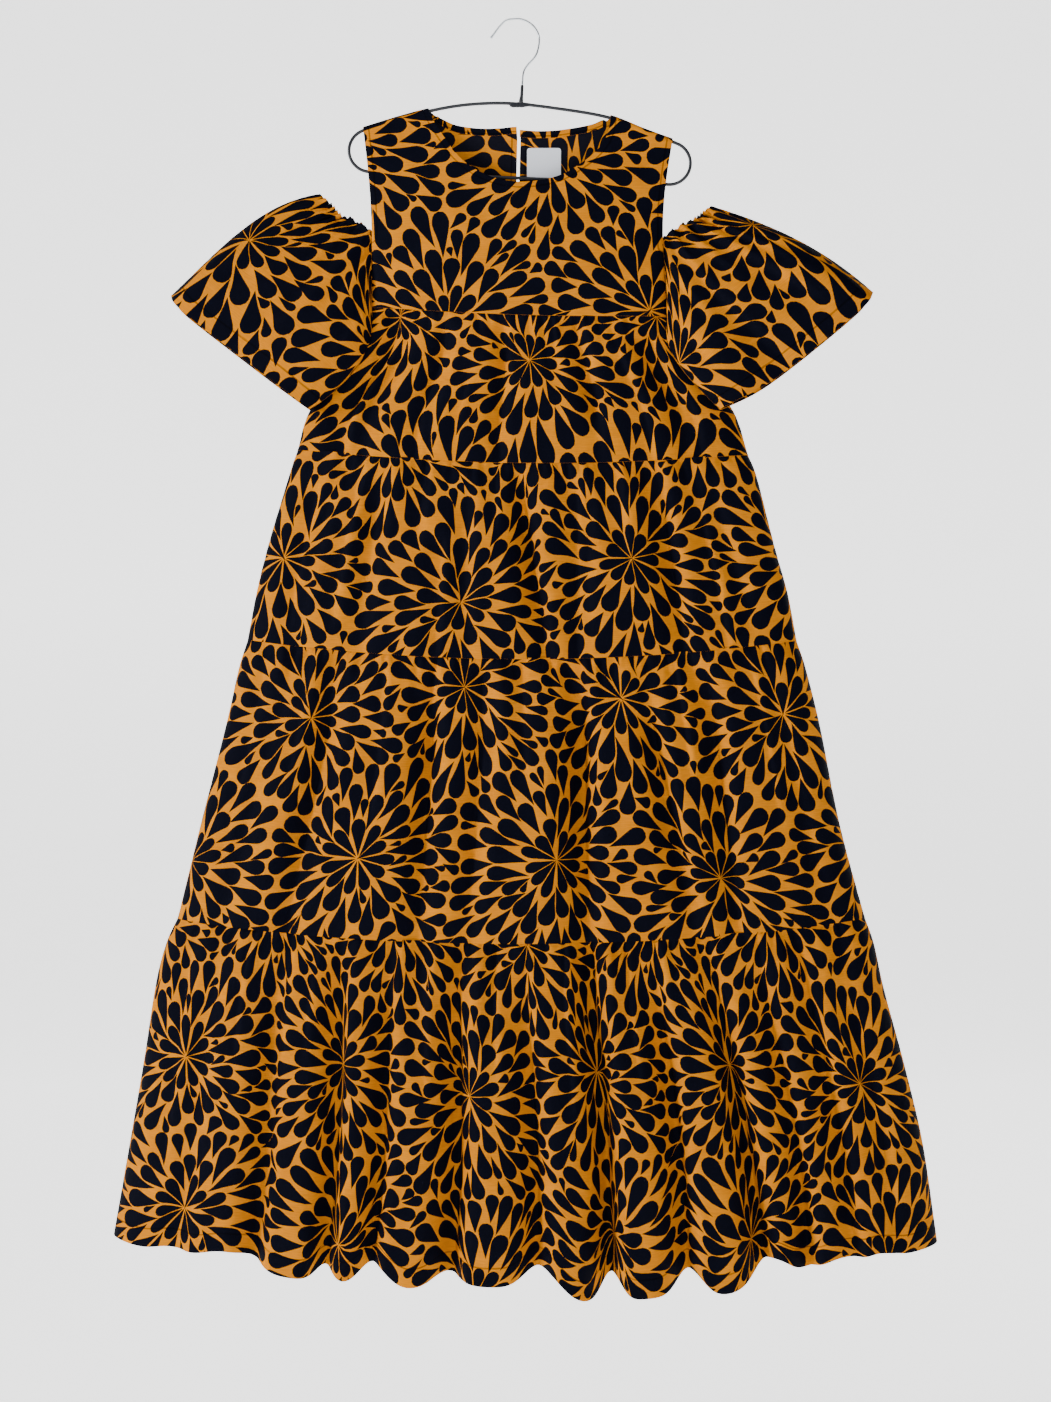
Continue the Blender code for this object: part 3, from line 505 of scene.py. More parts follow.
def make_puckers(width, seed):
    """Small tucks under a gathered seam: place, lean, depth, half width, reach, one row each."""
    rng = np.random.default_rng(seed)
    rows = []
    place = 0.5 * PUCKER_SPACING
    while place < width - 0.4 * PUCKER_SPACING:
        rows.append((place, rng.normal(0, 0.06), rng.uniform(1.6, 4.8), rng.uniform(2.6, 4.8),
                     rng.choice(PUCKER_REACHES)))
        place += PUCKER_SPACING * rng.uniform(0.65, 1.4)
    return rows


PUCKERS = {}
for tier_number, tier_name in enumerate(TIER_ORDER):
    for is_front in (True, False):
        PUCKERS[tier_name, is_front] = make_puckers(
            row_width(TIER_TABLES[tier_name][0][0]),
            PUCKER_SEED + 2 * tier_number + (0 if is_front else 1))


def pucker_depth(rows, place, below):
    total = np.zeros_like(place)
    for centre, lean, depth, half_width, reach in rows:
        offset = (place - centre - lean * below) / (half_width * (1.0 + 0.5 * below / reach))
        total += depth * np.exp(-offset ** 2 - below / reach)
    return total * (1.0 - np.exp(-below / 2.0))


def tier_shape(tier, front, q, v, fine):
    """Points on the outer face of a tier. q runs across, a little past each side seam."""
    folds = 1 if front else 2
    table = TIER_TABLES[tier][0]
    t = unit(q)
    lip = 1.0 - unit(np.maximum(-q, q - 1.0) / LIP_SHARE)
    tucked = np.maximum(-v, 0.0) * TIER_HEIGHT[tier]
    v = unit(v)
    row = spline(table, v)
    left, left_z, right, right_z, centre_z, front_depth, back_depth, side_y = (
        row[..., i] for i in range(1, 9))
    z = hung_height(t, left_z, right_z, centre_z)
    width = right - left
    free_edge = tier == TIER_ORDER[-1]
    inward = trough_depth(TIER_TABLES[tier][folds], width, t, v) * fold_growth(v, free_edge)
    above = TIER_ORDER.index(tier) - 1
    if above >= 0:
        upper = TIER_TABLES[TIER_ORDER[above]]
        carried = trough_depth(upper[folds], row_width(upper[0][-1]), t, 1.0) * SEAM_HOLD
        inward += carried * (1.0 - smooth(v / 0.5))
    creases = CREASES[tier] if front else mirrored(CREASES[tier][::2], BACK_CREASE_SHARE)
    inward += crease_depth(creases, width, t, v)
    below = v * abs(table[-1][5] - table[0][5])
    inward -= gather_height(tier, t, below, front)
    if fine:
        inward += pucker_depth(PUCKERS[tier, front], t * row_width(table[0]), below)
    inward *= away_from_sides(t)
    if fine:
        inward += SEAM_TUCK * np.exp(-below / SEAM_TUCK_REACH)
    depth = front_depth if front else back_depth
    out = SEAM_LIP * lip + (depth - SEAM_LIP) * section(t) - inward * lip
    if free_edge:
        z = z + hem_rise(front, width, t, v)
    return np.column_stack([lerp(left, right, t), side_y - out if front else side_y + out,
                            z + tucked])


def seam_height(t):
    """Height of the seam between the yoke and the first tier."""
    return hung_height(t, *(CHEST_TIER[0][i] for i in (2, 4, 5)))


def yoke_side(side, z):
    """Across position of an armhole edge at height z."""
    top, bottom, bow, seam_z = YOKE_SIDES[side]
    start = shoulder_height(top)
    v = unit((start - z) / (start - seam_z))
    return lerp(top, bottom, v) + bow * np.sin(math.pi * v)


def yoke_out(front, x, z, lip=1.0, ridge=1.0):
    """Distance of the yoke's outer face from the hanger plane."""
    left, right = yoke_side("left", z), yoke_side("right", z)
    t = unit((x - left) / (right - left))
    line = shoulder_height(x)
    drop = np.maximum(line - z, 0.0)
    v = np.minimum(drop / (line - seam_height(t)), 1.0)
    room = lerp(SHOULDER_ROOM, SHOULDER_RIDGE, np.exp(-drop / SHOULDER_ROUNDING)) * ridge
    depth = np.where(front, YOKE_FRONT_DEPTH, YOKE_BACK_DEPTH)
    opened = room + depth * smooth(drop / 190.0) * (0.3 + 0.7 * section(t))
    full = np.where(front, CHEST_TIER[0][6], CHEST_TIER[0][7])
    closed = SEAM_LIP * lip + (full - SEAM_LIP) * section(t)
    return lerp(opened, closed, smooth((v - 0.62) / 0.38))


def yoke_shape(front, flat):
    """Points of a yoke panel from its across and height."""
    x, z = flat[:, 0], flat[:, 1]
    edge = np.minimum(x - yoke_side("left", z), yoke_side("right", z) - x)
    out = yoke_out(front, x, z, smooth(edge / 1.6), smooth((shoulder_height(x) - z) / 1.8))
    return np.column_stack([x, -out if front else out, z])


def sleeve_shape(sleeve, q, v, fine):
    """Points of a sleeve: q from the underarm seam over the front, the fold and the back."""
    v = unit(v)
    front = q < 1.0
    t = unit(np.where(front, q, 2.0 - q))
    lip = 1.0 - unit(np.maximum(-q, q - 2.0) / LIP_SHARE)
    joined = smooth(v / 0.45)
    t = t + SLEEVE_LIP * lip * (1.0 - joined) * unit(1.0 - t / 0.04)
    side = sleeve["side"]
    outward = -1.0 if side == "left" else 1.0
    start_z, end_z = shoulder_height(YOKE_SIDES[side][0]), YOKE_SIDES[side][3]

    # Top edge: along the armhole as far as it is sewn, then the open top.
    along = np.minimum(t / SLEEVE_SPLIT, 1.0)
    top_z = lerp(start_z, end_z, lerp(SLEEVE_START, sleeve["armhole_top"], along))
    top_x = yoke_side(side, top_z)
    out = np.maximum(yoke_out(front, top_x, top_z), WALL + 1.0)
    top_x = top_x + outward * SLEEVE_GAP
    around = unit((t - SLEEVE_SPLIT) / (1.0 - SLEEVE_SPLIT))
    open_top = t > SLEEVE_SPLIT
    corner_z = lerp(start_z, end_z, sleeve["armhole_top"])
    corner = (float(yoke_side(side, corner_z)) + outward * SLEEVE_GAP, float(corner_z))
    edge = curve_points((corner,) + sleeve["top_edge"], around)
    top_x = np.where(open_top, edge[..., 0], top_x)
    top_z = np.where(open_top, edge[..., 1], top_z)
    out = out * np.where(open_top, np.sqrt(np.maximum(1.0 - around ** 2.5, 0.0)), 1.0)

    # From the top edge to the hem.
    sign = np.where(front, -1.0, 1.0)
    hem = curve_points(sleeve["hem"], t)
    hem_y = lerp(*sleeve["hem_set"], t ** 0.7) + sign * SLEEVE_HALF_DEPTH * section(t)
    bulge_x, bulge_z, skew = sleeve["bulge"]
    swell = 4.0 * v * (1.0 - v) * (1.0 + skew * (0.5 - v)) * t * t
    near_arm, near_hem = sleeve["underarm"]
    hollow = 6.75 * v * (1.0 - v) * (near_arm * (1.0 - v) + near_hem * v) * (1.0 - t) ** 2
    x = lerp(top_x, hem[..., 0], v) + bulge_x * swell + hollow
    z = lerp(top_z, hem[..., 1], v) + bulge_z * swell
    y = lerp(sign * out, hem_y, v)
    y += sign * SLEEVE_PUFF * section(t) * np.sin(math.pi * v)
    y += sign * joined * SEAM_LIP * lip * (1.0 - t)
    wave = np.sin(math.tau * SLEEVE_GATHERS * around)
    y += sign * SLEEVE_GATHER_HEIGHT * wave * section(around) * smooth(v / 0.08) * np.exp(-v / 0.35)
    y += sign * 3.5 * smooth(v) * np.sin(9.0 * t + 0.6) * section(t)
    if fine:
        # Frilled elastic edge, its pinched line, tucks along the armhole, and creases.
        below = v * SLEEVE_HEIGHT
        wander = 0.5 * np.sin(7.0 * around + 2.0 * front)
        frill = np.sin(math.tau * (9.0 * around + wander))
        frill += 0.6 * np.sin(math.tau * (15.0 * around - 0.7 * wander) + 1.3)
        y += sign * open_top * section(around) * frill * FRILL_DEPTH * np.exp(-below / 24.0)
        z += open_top * frill * FRILL_HEIGHT * section(around) * np.exp(-below / 5.0)
        y -= sign * open_top * section(around) * 1.6 * bell((below - 8.0) / 3.0)
        tucks = np.sin(math.tau * (6.0 * along + 0.3 * np.sin(5.0 * along)))
        y += sign * (~open_top) * tucks * 2.0 * np.exp(-below / 18.0) * smooth(along / 0.2)
        if outward > 0.0:
            folded = crease_depth(SLEEVE_CREASES, SLEEVE_SPAN, t, v)
        else:
            folded = crease_depth(mirrored(SLEEVE_CREASES), SLEEVE_SPAN, 1.0 - t, v)
        y -= sign * folded * section(t) * np.where(front, 1.0, 0.7)
    return np.column_stack([x, y, z])


def arc_tables(form, low, high):
    """Where equal steps of cloth lie across a panel, at several heights, and its width."""
    q = np.linspace(low, high, 2401)
    steps = shares(901)
    lines, widths = [], []
    for v in TABLE_HEIGHTS:
        points = form(q, np.full_like(q, v), False)
        length = np.insert(np.cumsum(np.linalg.norm(np.diff(points, axis=0), axis=1)), 0, 0.0)
        lines.append(np.interp(steps, length / length[-1], q))
        widths.append(length[-1])
    return steps, np.array(lines), float(np.interp(WIDTH_HEIGHT, TABLE_HEIGHTS, widths))


def read_tables(tables, share, v):
    steps, lines, _ = tables
    v = unit(v)
    i = np.clip(np.searchsorted(TABLE_HEIGHTS, v, side="right") - 1, 0, len(TABLE_HEIGHTS) - 2)
    heights = np.array(TABLE_HEIGHTS)
    blend = (v - heights[i]) / (heights[i + 1] - heights[i])
    q = np.zeros_like(share)
    for j in range(len(TABLE_HEIGHTS)):
        weight = np.where(i == j, 1.0 - blend, 0.0) + np.where(i + 1 == j, blend, 0.0)
        q += weight * np.interp(share, steps, lines[j])
    return q


def drop_width(s):
    """Half width of a drop at s from its tip to its round head, as a share of its largest."""
    body = unit(s / DROP_HEAD) ** 1.15
    head = (1.0 - unit((s - DROP_HEAD) / (1.0 - DROP_HEAD)) ** 2.2) ** (1 / 2.2)
    return np.where(s < DROP_HEAD, body, head)


def turned(tip, angle, a, b):
    """Across and down of points given along a drop and square to it."""
    c, d = math.cos(angle), math.sin(angle)
    return tip[0] + a * c - b * d, tip[1] + a * d + b * c


def wrapped(drop):
    return (drop[0] % TILE[0], drop[1] % TILE[1], *drop[2:])


class Layout:
    """Bursts of drops over a repeating tile, none touching another.

    A drop is the place of its tip across and down, its angle, length, width and bend.
    """

    def __init__(self, seed):
        self.rng = np.random.default_rng(seed)
        self.size = (int(TILE[0] / PRINT_CELL), int(TILE[1] / PRINT_CELL))
        self.taken = np.zeros(self.size, bool)
        self.drops = []
        self.centres = np.array([(x, y) for x, y, _ in BURSTS])
        along, across = np.meshgrid(np.linspace(-2.0, 58.0, 86), np.linspace(-12.5, 12.5, 36))
        self.along, self.across = along.ravel(), across.ravel()

    def cell(self, x, y):
        return (np.asarray(x / PRINT_CELL).astype(int) % self.size[0],
                np.asarray(y / PRINT_CELL).astype(int) % self.size[1])

    def cells(self, drop, gap=0.0):
        """Cells under one drop grown by gap."""
        x, y, angle, length, width, bend = drop
        long_enough = (self.along > -gap) & (self.along < length + gap)
        a, b = self.along[long_enough], self.across[long_enough]
        s = unit(a / length)
        inside = np.abs(b) < 0.5 * width * drop_width(s) + gap
        a, b, s = a[inside], b[inside], s[inside]
        return self.cell(*turned((x, y), angle, a, b + bend * length * (1.0 - s) ** 2))

    def meets(self, drop, gap):
        return self.taken[self.cells(drop, gap)].any()

    def place(self, drop, gap=DROP_GAP):
        x, y, angle, length, _, bend = drop
        for share in PROBES:
            probe = turned((x, y), angle, share * length, bend * length * (1.0 - share) ** 2)
            if self.taken[self.cell(*probe)]:
                return False
        if self.meets(drop, gap):
            return False
        self.taken[self.cells(drop)] = True
        self.drops.append(wrapped(drop))
        return True

    def nearest(self, point):
        away = np.abs(self.centres - np.mod(point, TILE))
        away = np.minimum(away, np.array(TILE) - away)
        return int(np.argmin((away ** 2).sum(axis=1)))

    def flow(self, point):
        """Direction away from the nearest burst."""
        half = 0.5 * np.array(TILE)
        away = np.mod(point, TILE) - self.centres[self.nearest(point)]
        away = (away + half) % np.array(TILE) - half
        return math.atan2(away[1], away[0])

    def burst_hearts(self):
        rng = self.rng
        for x, y, count in BURSTS:
            turn = rng.uniform(0, 6.28)
            for i in range(count):
                angle = turn + math.tau * (i + rng.uniform(-0.12, 0.12)) / count
                tip = turned((x, y), angle, HEART_RADIUS, 0.0)
                self.place((*tip, angle, rng.uniform(30, 44), rng.uniform(12.0, 14.0), 0.0),
                           HEART_GAP)

    def ring(self, burst, radius):
        rng = self.rng
        x, y, _ = BURSTS[burst]
        steps = int(math.tau * radius / RING_SPACING)
        turn = rng.uniform(0, 6.28)
        for j in rng.permutation(steps):
            angle = turn + math.tau * j / steps
            direction = np.array((math.cos(angle), math.sin(angle)))
            tip = np.array((x, y)) + radius * direction
            if self.taken[self.cell(*tip)] or self.nearest(tip + 18.0 * direction) != burst:
                continue
            bend = rng.normal(0, 0.17)
            aim = angle + rng.normal(0, 0.12) + 0.8 * bend
            sizes = [(rng.uniform(38, 44), 0.43), (rng.uniform(31, 37), 0.46)]
            if rng.random() < 0.3:
                sizes.insert(0, (rng.uniform(45, 54), 0.41))
            for length, share in sizes:
                width = length * share * rng.uniform(0.92, 1.06)
                if self.place((*tip, aim, length, width, bend)):
                    break

    def fillers(self):
        rng = self.rng
        for low, high, share, tries in FILLER_DROPS:
            for _ in range(tries):
                tip = rng.uniform((0, 0), TILE)
                if self.taken[self.cell(*tip)]:
                    continue
                length, bend = rng.uniform(low, high), rng.normal(0, 0.12)
                aim = self.flow(tip) + rng.normal(0, 0.4)
                self.place((*tip, aim, length, length * share * rng.uniform(0.9, 1.08), bend))

    def grow(self):
        """Each drop gets a longer tail and a fuller body where there is room for it."""
        for k in self.rng.permutation(len(self.drops)):
            drop = self.drops[k]
            x, y, angle, length, width, bend = drop
            self.taken[self.cells(drop)] = False
            longer = [(*turned((x, y), angle, -tail, 0.0), angle, length + tail, width, bend)
                      for tail in LONGER_TAILS if length + tail <= LONGEST_DROP]
            drop = next((d for d in longer if not self.meets(d, GROWN_GAP)), drop)
            fuller = [(*drop[:4], min(width * more, WIDEST_DROP), bend) for more in FULLER_BODIES]
            drop = next((d for d in fuller if not self.meets(d, GROWN_GAP)), drop)
            self.taken[self.cells(drop)] = True
            self.drops[k] = wrapped(drop)

    def run(self):
        self.burst_hearts()
        for radius in np.arange(*RING_RADII):
            for i in self.rng.permutation(len(BURSTS)):
                self.ring(i, radius)
        self.fillers()
        self.grow()
        return self.drops


def counter_clockwise(points):
    x, y = points[:, 0], points[:, 1]
    area = float(np.sum(x * np.roll(y, -1) - np.roll(x, -1) * y))
    return points if area > 0.0 else points[::-1]


def drop_outline(drop):
    x, y, angle, length, width, bend = drop
    s = np.array(DROP_STATIONS)
    half = 0.5 * width * drop_width(s) + OUTLINE_GROWTH
    centre = bend * length * (1.0 - s) ** 2
    upper = pairs(s * length, centre + half)
    lower = pairs(s * length, centre - half)[::-1]
    local = np.vstack([upper[1:], [[length, 0.0]], lower[:-1], [[0.0, centre[0]]]])
    return counter_clockwise(pairs(*turned((x, y), angle, *local.T)))


def drops_over(outlines, low, high, offset):
    """Outlines of all drops over a box of cloth that starts at offset on the tile."""
    found = []
    for i in range(-2, 4):
        for j in range(-2, 4):
            shift = np.array((i * TILE[0] - offset[0], j * TILE[1] - offset[1]))
            if ((shift > high + DROP_REACH).any()
                    or (shift + np.array(TILE) < low - DROP_REACH).any()):
                continue
            for outline in outlines:
                moved = outline + shift
                if (moved.max(axis=0) > low).all() and (moved.min(axis=0) < high).all():
                    found.append(moved)
    return found


def steps_between(start, end, step):
    count = max(int(round(math.dist(start, end) / step)), 1)
    share = shares(count + 1)[:-1, None]
    return np.asarray(start) + share * (np.asarray(end) - np.asarray(start))


def column_at(x, heights):
    return pairs(np.full_like(heights, x), heights)


def staggered_grid(low, high, step_x, step_y):
    rows = []
    count = max(int(round((high[1] - low[1]) / step_y)), 1)
    for j in range(count + 1):
        shift = 0.5 * step_x if j % 2 else 0.0
        xs = np.arange(low[0] + shift, high[0], step_x)
        rows.append(pairs(xs, np.full_like(xs, lerp(low[1], high[1], j / count))))
    return np.vstack(rows)


def away_from_lines(points, loops, low):
    """Points that are more than about a millimetre from every loop."""
    size = (points.max(axis=0) - low).astype(int) + 8
    marked = np.zeros(size, bool)
    for loop in loops:
        after = np.roll(loop, -1, axis=0)
        for share in shares(9)[:-1]:
            cell = (lerp(loop, after, share) - low + 2.0).astype(int)
            good = ((cell >= 0) & (cell < size)).all(axis=1)
            marked[cell[good, 0], cell[good, 1]] = True
    near = marked.copy()
    near[1:] |= marked[:-1]
    near[:-1] |= marked[1:]
    near[:, 1:] |= marked[:, :-1]
    near[:, :-1] |= marked[:, 1:]
    cell = (points - low + 2.0).astype(int)
    return points[~near[cell[:, 0], cell[:, 1]]]


def crease_points(rows, tables, height):
    """Points of cloth along the steep side of each crease, so that its edge stays sharp."""
    steps, _, width = tables
    found = []
    for top, bottom, start, end, _, _ in rows:
        for y in np.arange(max(start * height, 4.0), min(end * height, height - 4.0), 4.0):
            line = read_tables(tables, steps, np.full_like(steps, y / height))
            centre = width * float(np.interp(lerp(top, bottom, y / height), line, steps))
            found += [(centre + shift, y) for shift in (-2.2, 0.0, 2.0, 4.2)]
    return np.array(found)


def cut_cloth(outline, drops, inner):
    """Triangles of a cut piece, and which of them are printed."""
    outline = counter_clockwise(outline)
    loops = [outline] + drops
    inner = away_from_lines(inner, loops, outline.min(axis=0))
    points = np.vstack(loops + [inner])
    faces, start = [], 0
    for loop in loops:
        faces.append(list(range(start, start + len(loop))))
        start += len(loop)
    verts, _, tris, _, _, owners = delaunay_2d_cdt(
        [Vector(p) for p in points.tolist()], [], faces, 1, 1e-4, True)
    kept = [k for k, ids in enumerate(owners) if 0 in ids]
    printed = np.array([len(owners[k]) > 1 for k in kept])
    flat = np.array([tuple(v) for v in verts])
    triangles = np.array([tris[k] for k in kept])
    used = np.unique(triangles)
    renumber = np.zeros(len(flat), int)
    renumber[used] = np.arange(len(used))
    return flat[used], renumber[triangles], printed


def rim_edges(triangles):
    """Edges that only one triangle has, in the order that triangle runs through them."""
    edges = np.vstack([triangles[:, (0, 1)], triangles[:, (1, 2)], triangles[:, (2, 0)]])
    keys = np.sort(edges, axis=1)
    _, first, counts = np.unique(keys, axis=0, return_index=True, return_counts=True)
    return edges[first[counts == 1]]


def new_mesh(name, verts, faces):
    mesh = bpy.data.meshes.new(name)
    mesh.from_pydata(verts, [], faces)
    mesh.polygons.foreach_set("use_smooth", np.ones(len(faces), bool))
    return mesh


def add_piece(name, data, looks=()):
    for look in looks:
        data.materials.append(look)
    piece = bpy.data.objects.new(name, data)
    bpy.context.scene.collection.objects.link(piece)
    return piece


def add_uv(mesh, name, places):
    layer = mesh.uv_layers.new(name=name)
    layer.uv.foreach_set("vector", places.astype(np.float32).ravel())


def cloth_piece(name, flat, triangles, printed, shape, outward, looks, edge_distance):
    """Double-sided sheet from flat cloth: two layers and the rim that joins them."""
    points = shape(flat)
    along, down = (shape(flat + step) - shape(flat - step) for step in NORMAL_STEPS)
    normal = np.cross(along, down) * outward
    normal /= np.maximum(np.linalg.norm(normal, axis=1), 1e-9)[:, None]
    count = len(points)
    verts = np.vstack([points, points - CLOTH * normal]) * MM
    outer = triangles if outward > 0 else triangles[:, ::-1]
    inner = outer[:, ::-1] + count
    rim = rim_edges(outer)
    quads = np.column_stack([rim[:, 1], rim[:, 0], rim[:, 0] + count, rim[:, 1] + count])
    mesh = new_mesh(name, verts.tolist(), outer.tolist() + inner.tolist() + quads.tolist())
    kinds = np.concatenate([printed * 1, printed * 1 + 2, np.zeros(len(quads), int)])
    mesh.polygons.foreach_set("material_index", kinds.astype(np.int32))
    corner_verts = np.zeros(len(mesh.loops), np.int32)
    mesh.loops.foreach_get("vertex_index", corner_verts)
    where = flat[corner_verts % count]
    add_uv(mesh, "cloth", where * MM)
    low, high = flat.min(axis=0), flat.max(axis=0)
    share = (where - low) / (high - low)
    baked = pairs(0.01 + 0.98 * share[:, 0], 0.01 + 0.47 * share[:, 1])
    baked[corner_verts < count, 1] += 0.5
    add_uv(mesh, "OFBake", baked)
    edge = mesh.attributes.new("edge", "FLOAT", "POINT")
    edge.data.foreach_set("value", np.tile(edge_distance(flat), 2).astype(np.float32))
    mesh.set_sharp_from_angle(angle=math.radians(70))
    mesh.validate()
    return add_piece(name, mesh, looks)


class Look:
    """A material that is put together node by node."""

    def __init__(self, name):
        self.material = bpy.data.materials.new(name)
        self.material.use_nodes = True
        self.tree = self.material.node_tree

    def feed(self, socket, value):
        if isinstance(value, bpy.types.NodeSocket):
            self.tree.links.new(value, socket)
        else:
            socket.default_value = value

    def node(self, kind, **values):
        """New node, with a value, link or setting for each name."""
        made = self.tree.nodes.new(kind)
        for key, value in values.items():
            if key in made.inputs:
                self.feed(made.inputs[key], value)
            else:
                setattr(made, key, value)
        return made.outputs

    def math(self, operation, *values):
        made = self.tree.nodes.new("ShaderNodeMath")
        made.operation = operation
        for socket, value in zip(made.inputs, values):
            self.feed(socket, value)
        return made.outputs[0]

    def noise(self, place, scale, detail, **values):
        return self.node("ShaderNodeTexNoise", Vector=place, Scale=scale, Detail=detail,
                         **values)[0]

    def threads(self, place, scale, detail):
        """Noise drawn out along the threads."""
        stretched = self.node("ShaderNodeMapping", Vector=place, Scale=scale)[0]
        return self.noise(stretched, 1.0, detail)

    def ramp(self, factor, *stops):
        made = self.tree.nodes.new("ShaderNodeValToRGB")
        elements = made.color_ramp.elements
        for i, (position, colour) in enumerate(stops):
            stop = elements[i] if i < 2 else elements.new(position)
            stop.position, stop.color = position, (*colour, 1.0)
        self.tree.links.new(factor, made.inputs[0])
        return made.outputs[0]

    def bump(self, height, strength, distance):
        return self.node("ShaderNodeBump", Strength=strength, Distance=distance, Height=height)[0]

    def surface(self, values):
        for key, value in values.items():
            self.feed(self.tree.nodes["Principled BSDF"].inputs[key], value)
        return self.material


def darker(colour, share):
    return tuple(share * c for c in colour)


def cotton(name, light, dark, roughness, gloss):
    """Woven cotton: threads, slubs, soft mottling, and stitches beside a free edge, with painted
    shade darkening the stitched groove.
    """
    look = Look(name)
    cloth = look.node("ShaderNodeUVMap", uv_map="cloth")[0]
    mottle = look.noise(cloth, 26.0, 4.0, Roughness=0.6)
    slub = look.threads(cloth, (60.0, 900.0, 1.0), 3.0)
    shade = look.math("ADD", look.math("MULTIPLY", slub, 0.45), look.math("MULTIPLY", mottle, 0.55))
    edge = look.node("ShaderNodeAttribute", attribute_name="edge")["Fac"]
    stitch_groove = look.math("COMPARE", edge, 0.0, 0.9)
    # Colour made darker along the stitched line: painted shade of its groove.
    shade = look.math("SUBTRACT", shade, look.math("MULTIPLY", stitch_groove, 0.35))
    warp, weft = (look.node("ShaderNodeTexWave", Vector=cloth, Scale=560.0, bands_direction=way,
                            wave_profile="SIN")["Fac"] for way in "XY")
    weave = look.math("MAXIMUM", warp, weft)
    height = look.math("ADD", look.math("MULTIPLY", weave, 0.35), slub)
    across = look.node("ShaderNodeSeparateXYZ", Vector=cloth)[0]
    run = look.math("FRACT", look.math("MULTIPLY", across, 330.0))
    stitch = look.math("MULTIPLY", stitch_groove, look.math("LESS_THAN", run, 0.72))
    height = look.math("ADD", height, look.math("MULTIPLY", stitch, 1.4))
    height = look.math("SUBTRACT", height, look.math("MULTIPLY", stitch_groove, 1.1))
    # The lowest ramp stop is the painted shade along the stitched groove.
    return look.surface({
        "Base Color": look.ramp(shade, (0.3, dark), (0.7, light), (0.12, darker(dark, 0.55))),
        "Roughness": look.math("MULTIPLY_ADD", slub, 0.16, roughness - 0.08),
        "Normal": look.bump(height, 0.35, 0.0005),
        "Specular IOR Level": gloss})


def satin(name, colour):
    look = Look(name)
    threads = look.threads(look.node("ShaderNodeUVMap", uv_map="cloth")[0],
                           (300.0, 4200.0, 1.0), 2.0)
    return look.surface({
        "Base Color": look.ramp(threads, (0.0, darker(colour, 0.86)), (1.0, colour)),
        "Roughness": 0.42, "Normal": look.bump(threads, 0.3, 0.0002), "Sheen Weight": 0.3})


def metal(name, colour, metallic, roughness, grain):
    look = Look(name)
    noise = look.noise(look.node("ShaderNodeTexCoord")["Object"], grain, 4.0)
    return look.surface({
        "Base Color": look.ramp(noise, (0.25, darker(colour, 0.75)), (0.75, colour)),
        "Roughness": look.math("MULTIPLY_ADD", noise, 0.2, roughness - 0.1),
        "Normal": look.bump(noise, 0.15, 0.0002), "Metallic": metallic})


def paper(name):
    look = Look(name)
    noise = look.noise(look.node("ShaderNodeTexCoord")["Object"], 3.0, 3.0)
    pale = look.ramp(noise, (0.0, (0.90, 0.90, 0.90)), (1.0, (0.93, 0.93, 0.93)))
    return look.surface({"Base Color": pale, "Emission Color": pale, "Roughness": 0.95,
                         "Emission Strength": PAPER_GLOW})


def panel_bands(width, bottom, bands):
    """Points inside a straight panel, band by band."""
    return [staggered_grid((left, first), (width - right, bottom - 4.0 if last is None else last),
                           step_x, step_y)
            for left, right, first, last, step_x, step_y in bands]


def panel_columns(top, bottom, places):
    heights = np.arange(top + 3.0, bottom - 2.0, 5.0)
    return [column_at(x, heights) for x in places]


def both_edges(width, insets):
    return [*insets, *(width - inset for inset in insets[::-1])]


def straight_panel(name, form, span, top, bottom, grid, offset, outward, hem, outlines, looks):
    """Piece cut as a rectangle of cloth, whose form spans q from 0 to span."""
    tables = arc_tables(form, -LIP_SHARE, span + LIP_SHARE)
    width = tables[2]
    corners = ((0.0, top), (width, top), (width, bottom), (0.0, bottom))
    sides = zip(corners, corners[1:] + corners[:1], PANEL_EDGE_STEPS)
    outline = np.vstack([steps_between(a, b, step) for a, b, step in sides])
    drops = drops_over(outlines, np.array(corners[0]), np.array(corners[2]), offset)
    flat, triangles, printed = cut_cloth(outline, drops, np.vstack(grid(tables)))

    def shape(points):
        v = points[:, 1] / bottom
        return form(read_tables(tables, points[:, 0] / width, v), v, True)

    return cloth_piece(name + "_cloth", flat, triangles, printed, shape, outward, looks,
                       lambda points: bottom - points[:, 1] - hem)


def tier_pieces(outlines, looks):
    pieces = {}
    for number, tier in enumerate(TIER_ORDER):
        height = TIER_HEIGHT[tier]
        for front in (True, False):
            def form(q, v, fine):
                return tier_shape(tier, front, q, v, fine)

            def grid(tables):
                creases = [crease_points(CREASES[tier], tables, height)] if front else []
                places = both_edges(tables[2], TIER_INSETS)
                return (panel_bands(tables[2], height, TIER_BANDS) + creases
                        + panel_columns(TIER_TOP, height, places))

            name = f"{tier}_{'front' if front else 'back'}"
            offset = (137.0 * number + (0.0 if front else 311.0), 83.0 * number + 50.0)
            pieces[name] = straight_panel(
                name, form, 1.0, TIER_TOP, height, grid, offset, -1.0 if front else 1.0,
                HEM_STITCHES if tier == TIER_ORDER[-1] else NO_STITCHES, outlines, looks)
    return pieces


